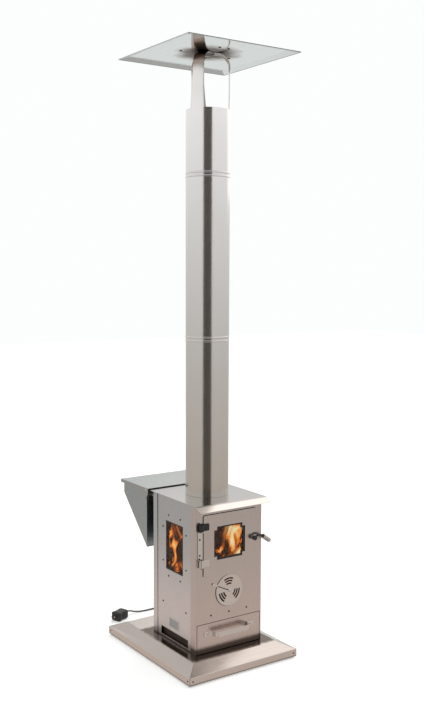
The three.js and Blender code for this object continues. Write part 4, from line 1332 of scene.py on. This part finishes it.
def dress_cad():
    """Gives each CAD node that shows its finish and softly rounded edges."""
    slots = {row["node"]: row["material_slot"] for row in frame["record"]["subparts"]}
    for name, obj in frame["nodes"].items():
        if obj.hide_render:
            continue
        obj.data.materials.clear()
        obj.data.materials.append(FINISHES[slots[name]])
        weld = obj.modifiers.new("joined_faces", "WELD")
        weld.merge_threshold = 1e-6
        soften(obj, ROUNDING.get(name, DEFAULT_ROUNDING) * MM, 2)


dress_cad()

# ---- Fire ---------------------------------------------------------------------------------

BRIGHT_AT = 46 * MM  # across the stove, where the flames burn brightest
BRIGHT_HALF, BRIGHT_END = 18 * MM, 34 * MM  # from there, where they start to fade and where they have


def flame_material(name, clear_below, power):
    """Glowing gas in curls: black smoke, dark red, orange and yellow. Gas darker than a level is
    clear, so that what is behind it shows."""
    f = Finish(name)
    f.tree.nodes.clear()
    inputs = {"Scale": 15.0, "Detail": 3.0, "Roughness": 0.5, "Distortion": 1.9}
    curls = f.node("TexNoise", {"Vector": f.place((1, 1, 0.6)), **inputs}).outputs["Fac"]
    off = f.math("ABSOLUTE", f.math("SUBTRACT", f.split()["X"], BRIGHT_AT), 0.0)
    tone = f.math("ADD", curls, f.remap(off, BRIGHT_HALF, BRIGHT_END, 0.14, -0.1, smooth=True))
    colour = f.ramp(
        tone,
        (0.36, (0.02, 0.006, 0.003)),
        (0.47, (0.12, 0.014, 0.004)),
        (0.53, (0.62, 0.10, 0.008)),
        (0.60, (1.0, 0.38, 0.05)),
        (0.72, (1.0, 0.86, 0.50)),
    )
    glow = f.node("Emission", {"Color": colour, "Strength": power})
    clear = f.node("BsdfTransparent", {"Color": (1, 1, 1, 1)})
    cover = f.ramp(tone, (clear_below - 0.04, 0.0), (clear_below + 0.02, 1.0)) if clear_below else 1.0
    both = f.node("MixShader", {0: cover, 1: clear.outputs["BSDF"], 2: glow.outputs["Emission"]})
    end = f.node("OutputMaterial")
    f.tree.links.new(both.outputs["Shader"], end.inputs["Surface"])
    return f.material


FIRE_LOW, FIRE_HIGH = 296 * MM, 512 * MM


def make_flame_shell(name, half, waver, clear_below, power):
    """A wavering, roughly square body of flame that fills the windows from inside."""
    bm = bmesh.new()
    around, levels = 96, 40
    rows = []
    for i in range(levels + 1):
        z = FIRE_LOW + (FIRE_HIGH - FIRE_LOW) * i / levels
        points = []
        for k in range(around):
            t = 2 * math.pi * k / around
            c, s = math.cos(t), math.sin(t)
            r = half + waver * (math.sin(5 * t + 31 * z) + math.sin(8 * t - 47 * z + 1))
            x = r * math.copysign(abs(c) ** 0.35, c)
            y = r * math.copysign(abs(s) ** 0.35, s)
            points.append((FLUE_AXIS.x + x, FLUE_AXIS.y + y, z))
        rows.append(ring(bm, points))
    skin(bm, rows, capped=True)
    mesh = bpy.data.meshes.new(name)
    bm.to_mesh(mesh)
    bm.free()
    mesh.shade_smooth()
    flames = added(name, mesh)
    flames.data.materials.append(flame_material(name, clear_below, power))
    flames.visible_shadow = False
    flames.visible_diffuse = False


def make_fire():
    """Fire for the windows. It is staging, not part of the stove."""
    make_flame_shell("flames_inner", 101 * MM, 2 * MM, None, 0.5)
    make_flame_shell("flames_outer", 113 * MM, 3 * MM, 0.54, 1.15)


make_fire()

# ---- Studio -------------------------------------------------------------------------------


def make_floor():
    mesh = bpy.data.meshes.new("studio_floor")
    reach = 14
    corners = [(sx * reach, sy * reach, 0) for sx, sy in ((-1, -1), (1, -1), (1, 1), (-1, 1))]
    mesh.from_pydata(corners, [], [(0, 1, 2, 3)])
    floor = added("studio_floor", mesh)
    f = Finish("studio_floor", Roughness=0.9, Specular_IOR_Level=0.0)
    f.surface.inputs["Base Color"].default_value = (0.86, 0.87, 0.865, 1)
    f.surface.inputs["Emission Color"].default_value = (0.98, 1.0, 0.99, 1)
    far = f.node("VectorMath", {0: f.place()}, operation="LENGTH").outputs["Value"]
    f.set("Emission Strength", f.remap(far, 2.0, 5.0, 0.34, 0.6))
    floor.data.materials.append(f.material)
    floor.visible_glossy = False


def make_world():
    """Plain pale surroundings. What the steel mirrors is a soft room: warm and darker below the
    horizon, bright above it."""
    world = bpy.data.worlds.new("studio")
    bpy.context.scene.world = world
    world.use_nodes = True
    tree = world.node_tree
    tree.nodes.clear()
    f = Finish("studio", tree)
    direction = f.node("TexCoord").outputs["Generated"]
    up = f.node("SeparateXYZ", {"Vector": direction}).outputs["Z"]
    room = f.ramp(
        f.remap(up, -1.0, 1.0),
        (0.0, (0.36, 0.36, 0.36)),
        (0.2, (0.42, 0.41, 0.40)),
        (0.28, (0.62, 0.53, 0.48)),
        (0.33, (0.66, 0.57, 0.52)),
        (0.385, (0.52, 0.48, 0.45)),
        (0.45, (0.56, 0.54, 0.52)),
        (0.5, (0.66, 0.65, 0.64)),
        (0.55, (0.80, 0.80, 0.79)),
        (0.6, (0.96, 0.96, 0.95)),
        (0.64, (0.90, 0.90, 0.90)),
        (0.72, (0.62, 0.60, 0.59)),
    )
    camera_ray = f.node("LightPath").outputs["Is Camera Ray"]
    seen = f.mix(camera_ray, room, (0.975, 0.995, 0.988))
    background = f.node("Background", {"Color": seen, "Strength": 1.0})
    end = f.node("OutputWorld")
    tree.links.new(background.outputs["Background"], end.inputs["Surface"])


def make_card(name, azimuth, distance, half_width, low, high, colour, strength):
    """A flat card that only reflections see, standing round the flue at an azimuth."""
    a = math.radians(azimuth)
    out = Vector((math.sin(a), -math.cos(a), 0))
    side = Vector((math.cos(a), math.sin(a), 0))
    centre = Vector((FLUE_AXIS.x, FLUE_AXIS.y, 0)) + out * distance
    corners = [centre - side * half_width, centre + side * half_width]
    verts = [p + Vector((0, 0, z)) for z in (low, high) for p in corners]
    mesh = bpy.data.meshes.new(name)
    mesh.from_pydata([tuple(v) for v in verts], [], [(0, 1, 3, 2)])
    card = added(name, mesh)
    f = Finish(name, Roughness=1.0, Specular_IOR_Level=0.0, Emission_Strength=strength)
    f.surface.inputs["Base Color"].default_value = (0, 0, 0, 1)
    f.surface.inputs["Emission Color"].default_value = (*colour, 1)
    card.data.materials.append(f.material)
    card.visible_camera = False
    card.visible_diffuse = False
    card.visible_shadow = False
    card.visible_transmission = False
    return card


def make_overhead(name, towards, distance, half, colour, strength):
    """A square card overhead, facing the stove, that only reflections see."""
    card = make_card(name, 0, 0, half, -half, half, colour, strength)
    place = axis_frame(Vector(towards) * distance + Vector((0, 0, 0.4)), towards)
    laid_flat = Matrix.Rotation(math.pi / 2, 4, "X")
    card.matrix_world = place @ laid_flat @ Matrix.Translation((-FLUE_AXIS.x, -FLUE_AXIS.y, 0))


def make_softbox(name, azimuth, elevation, distance, width, height, power, colour=(1, 1, 1)):
    a, e = math.radians(azimuth), math.radians(elevation)
    out = Vector((math.sin(a) * math.cos(e), -math.cos(a) * math.cos(e), math.sin(e)))
    light = bpy.data.lights.new(name, "AREA")
    light.shape = "RECTANGLE"
    light.size, light.size_y = width, height
    light.energy = power
    light.color = colour
    lamp = added(name, light)
    lamp.matrix_world = axis_frame(about_flue(0, 0, 700) + out * distance, out)
    lamp.visible_camera = False
    lamp.visible_glossy = False


make_floor()
make_world()
make_card("dark_card", VIEW_AZIMUTH, 5.0, 2.0, -1.4, 3.7, (0.08, 0.07, 0.06), 1.0)
make_overhead("overhead_card", (0.53, 0.30, 0.79), 4.0, 2.6, (1.0, 0.95, 0.91), 1.2)
make_card("bright_card", VIEW_AZIMUTH + 180, 5.0, 2.4, -1.2, 1.7, (0.86, 0.90, 0.89), 0.84)
make_softbox("back_softbox", 118, 50, 4.5, 3.2, 2.6, 90, (1.0, 0.95, 0.91))
make_softbox("front_softbox", -20, 62, 4.5, 2.5, 2.5, 60)
bpy.context.scene.view_settings.view_transform = "Standard"
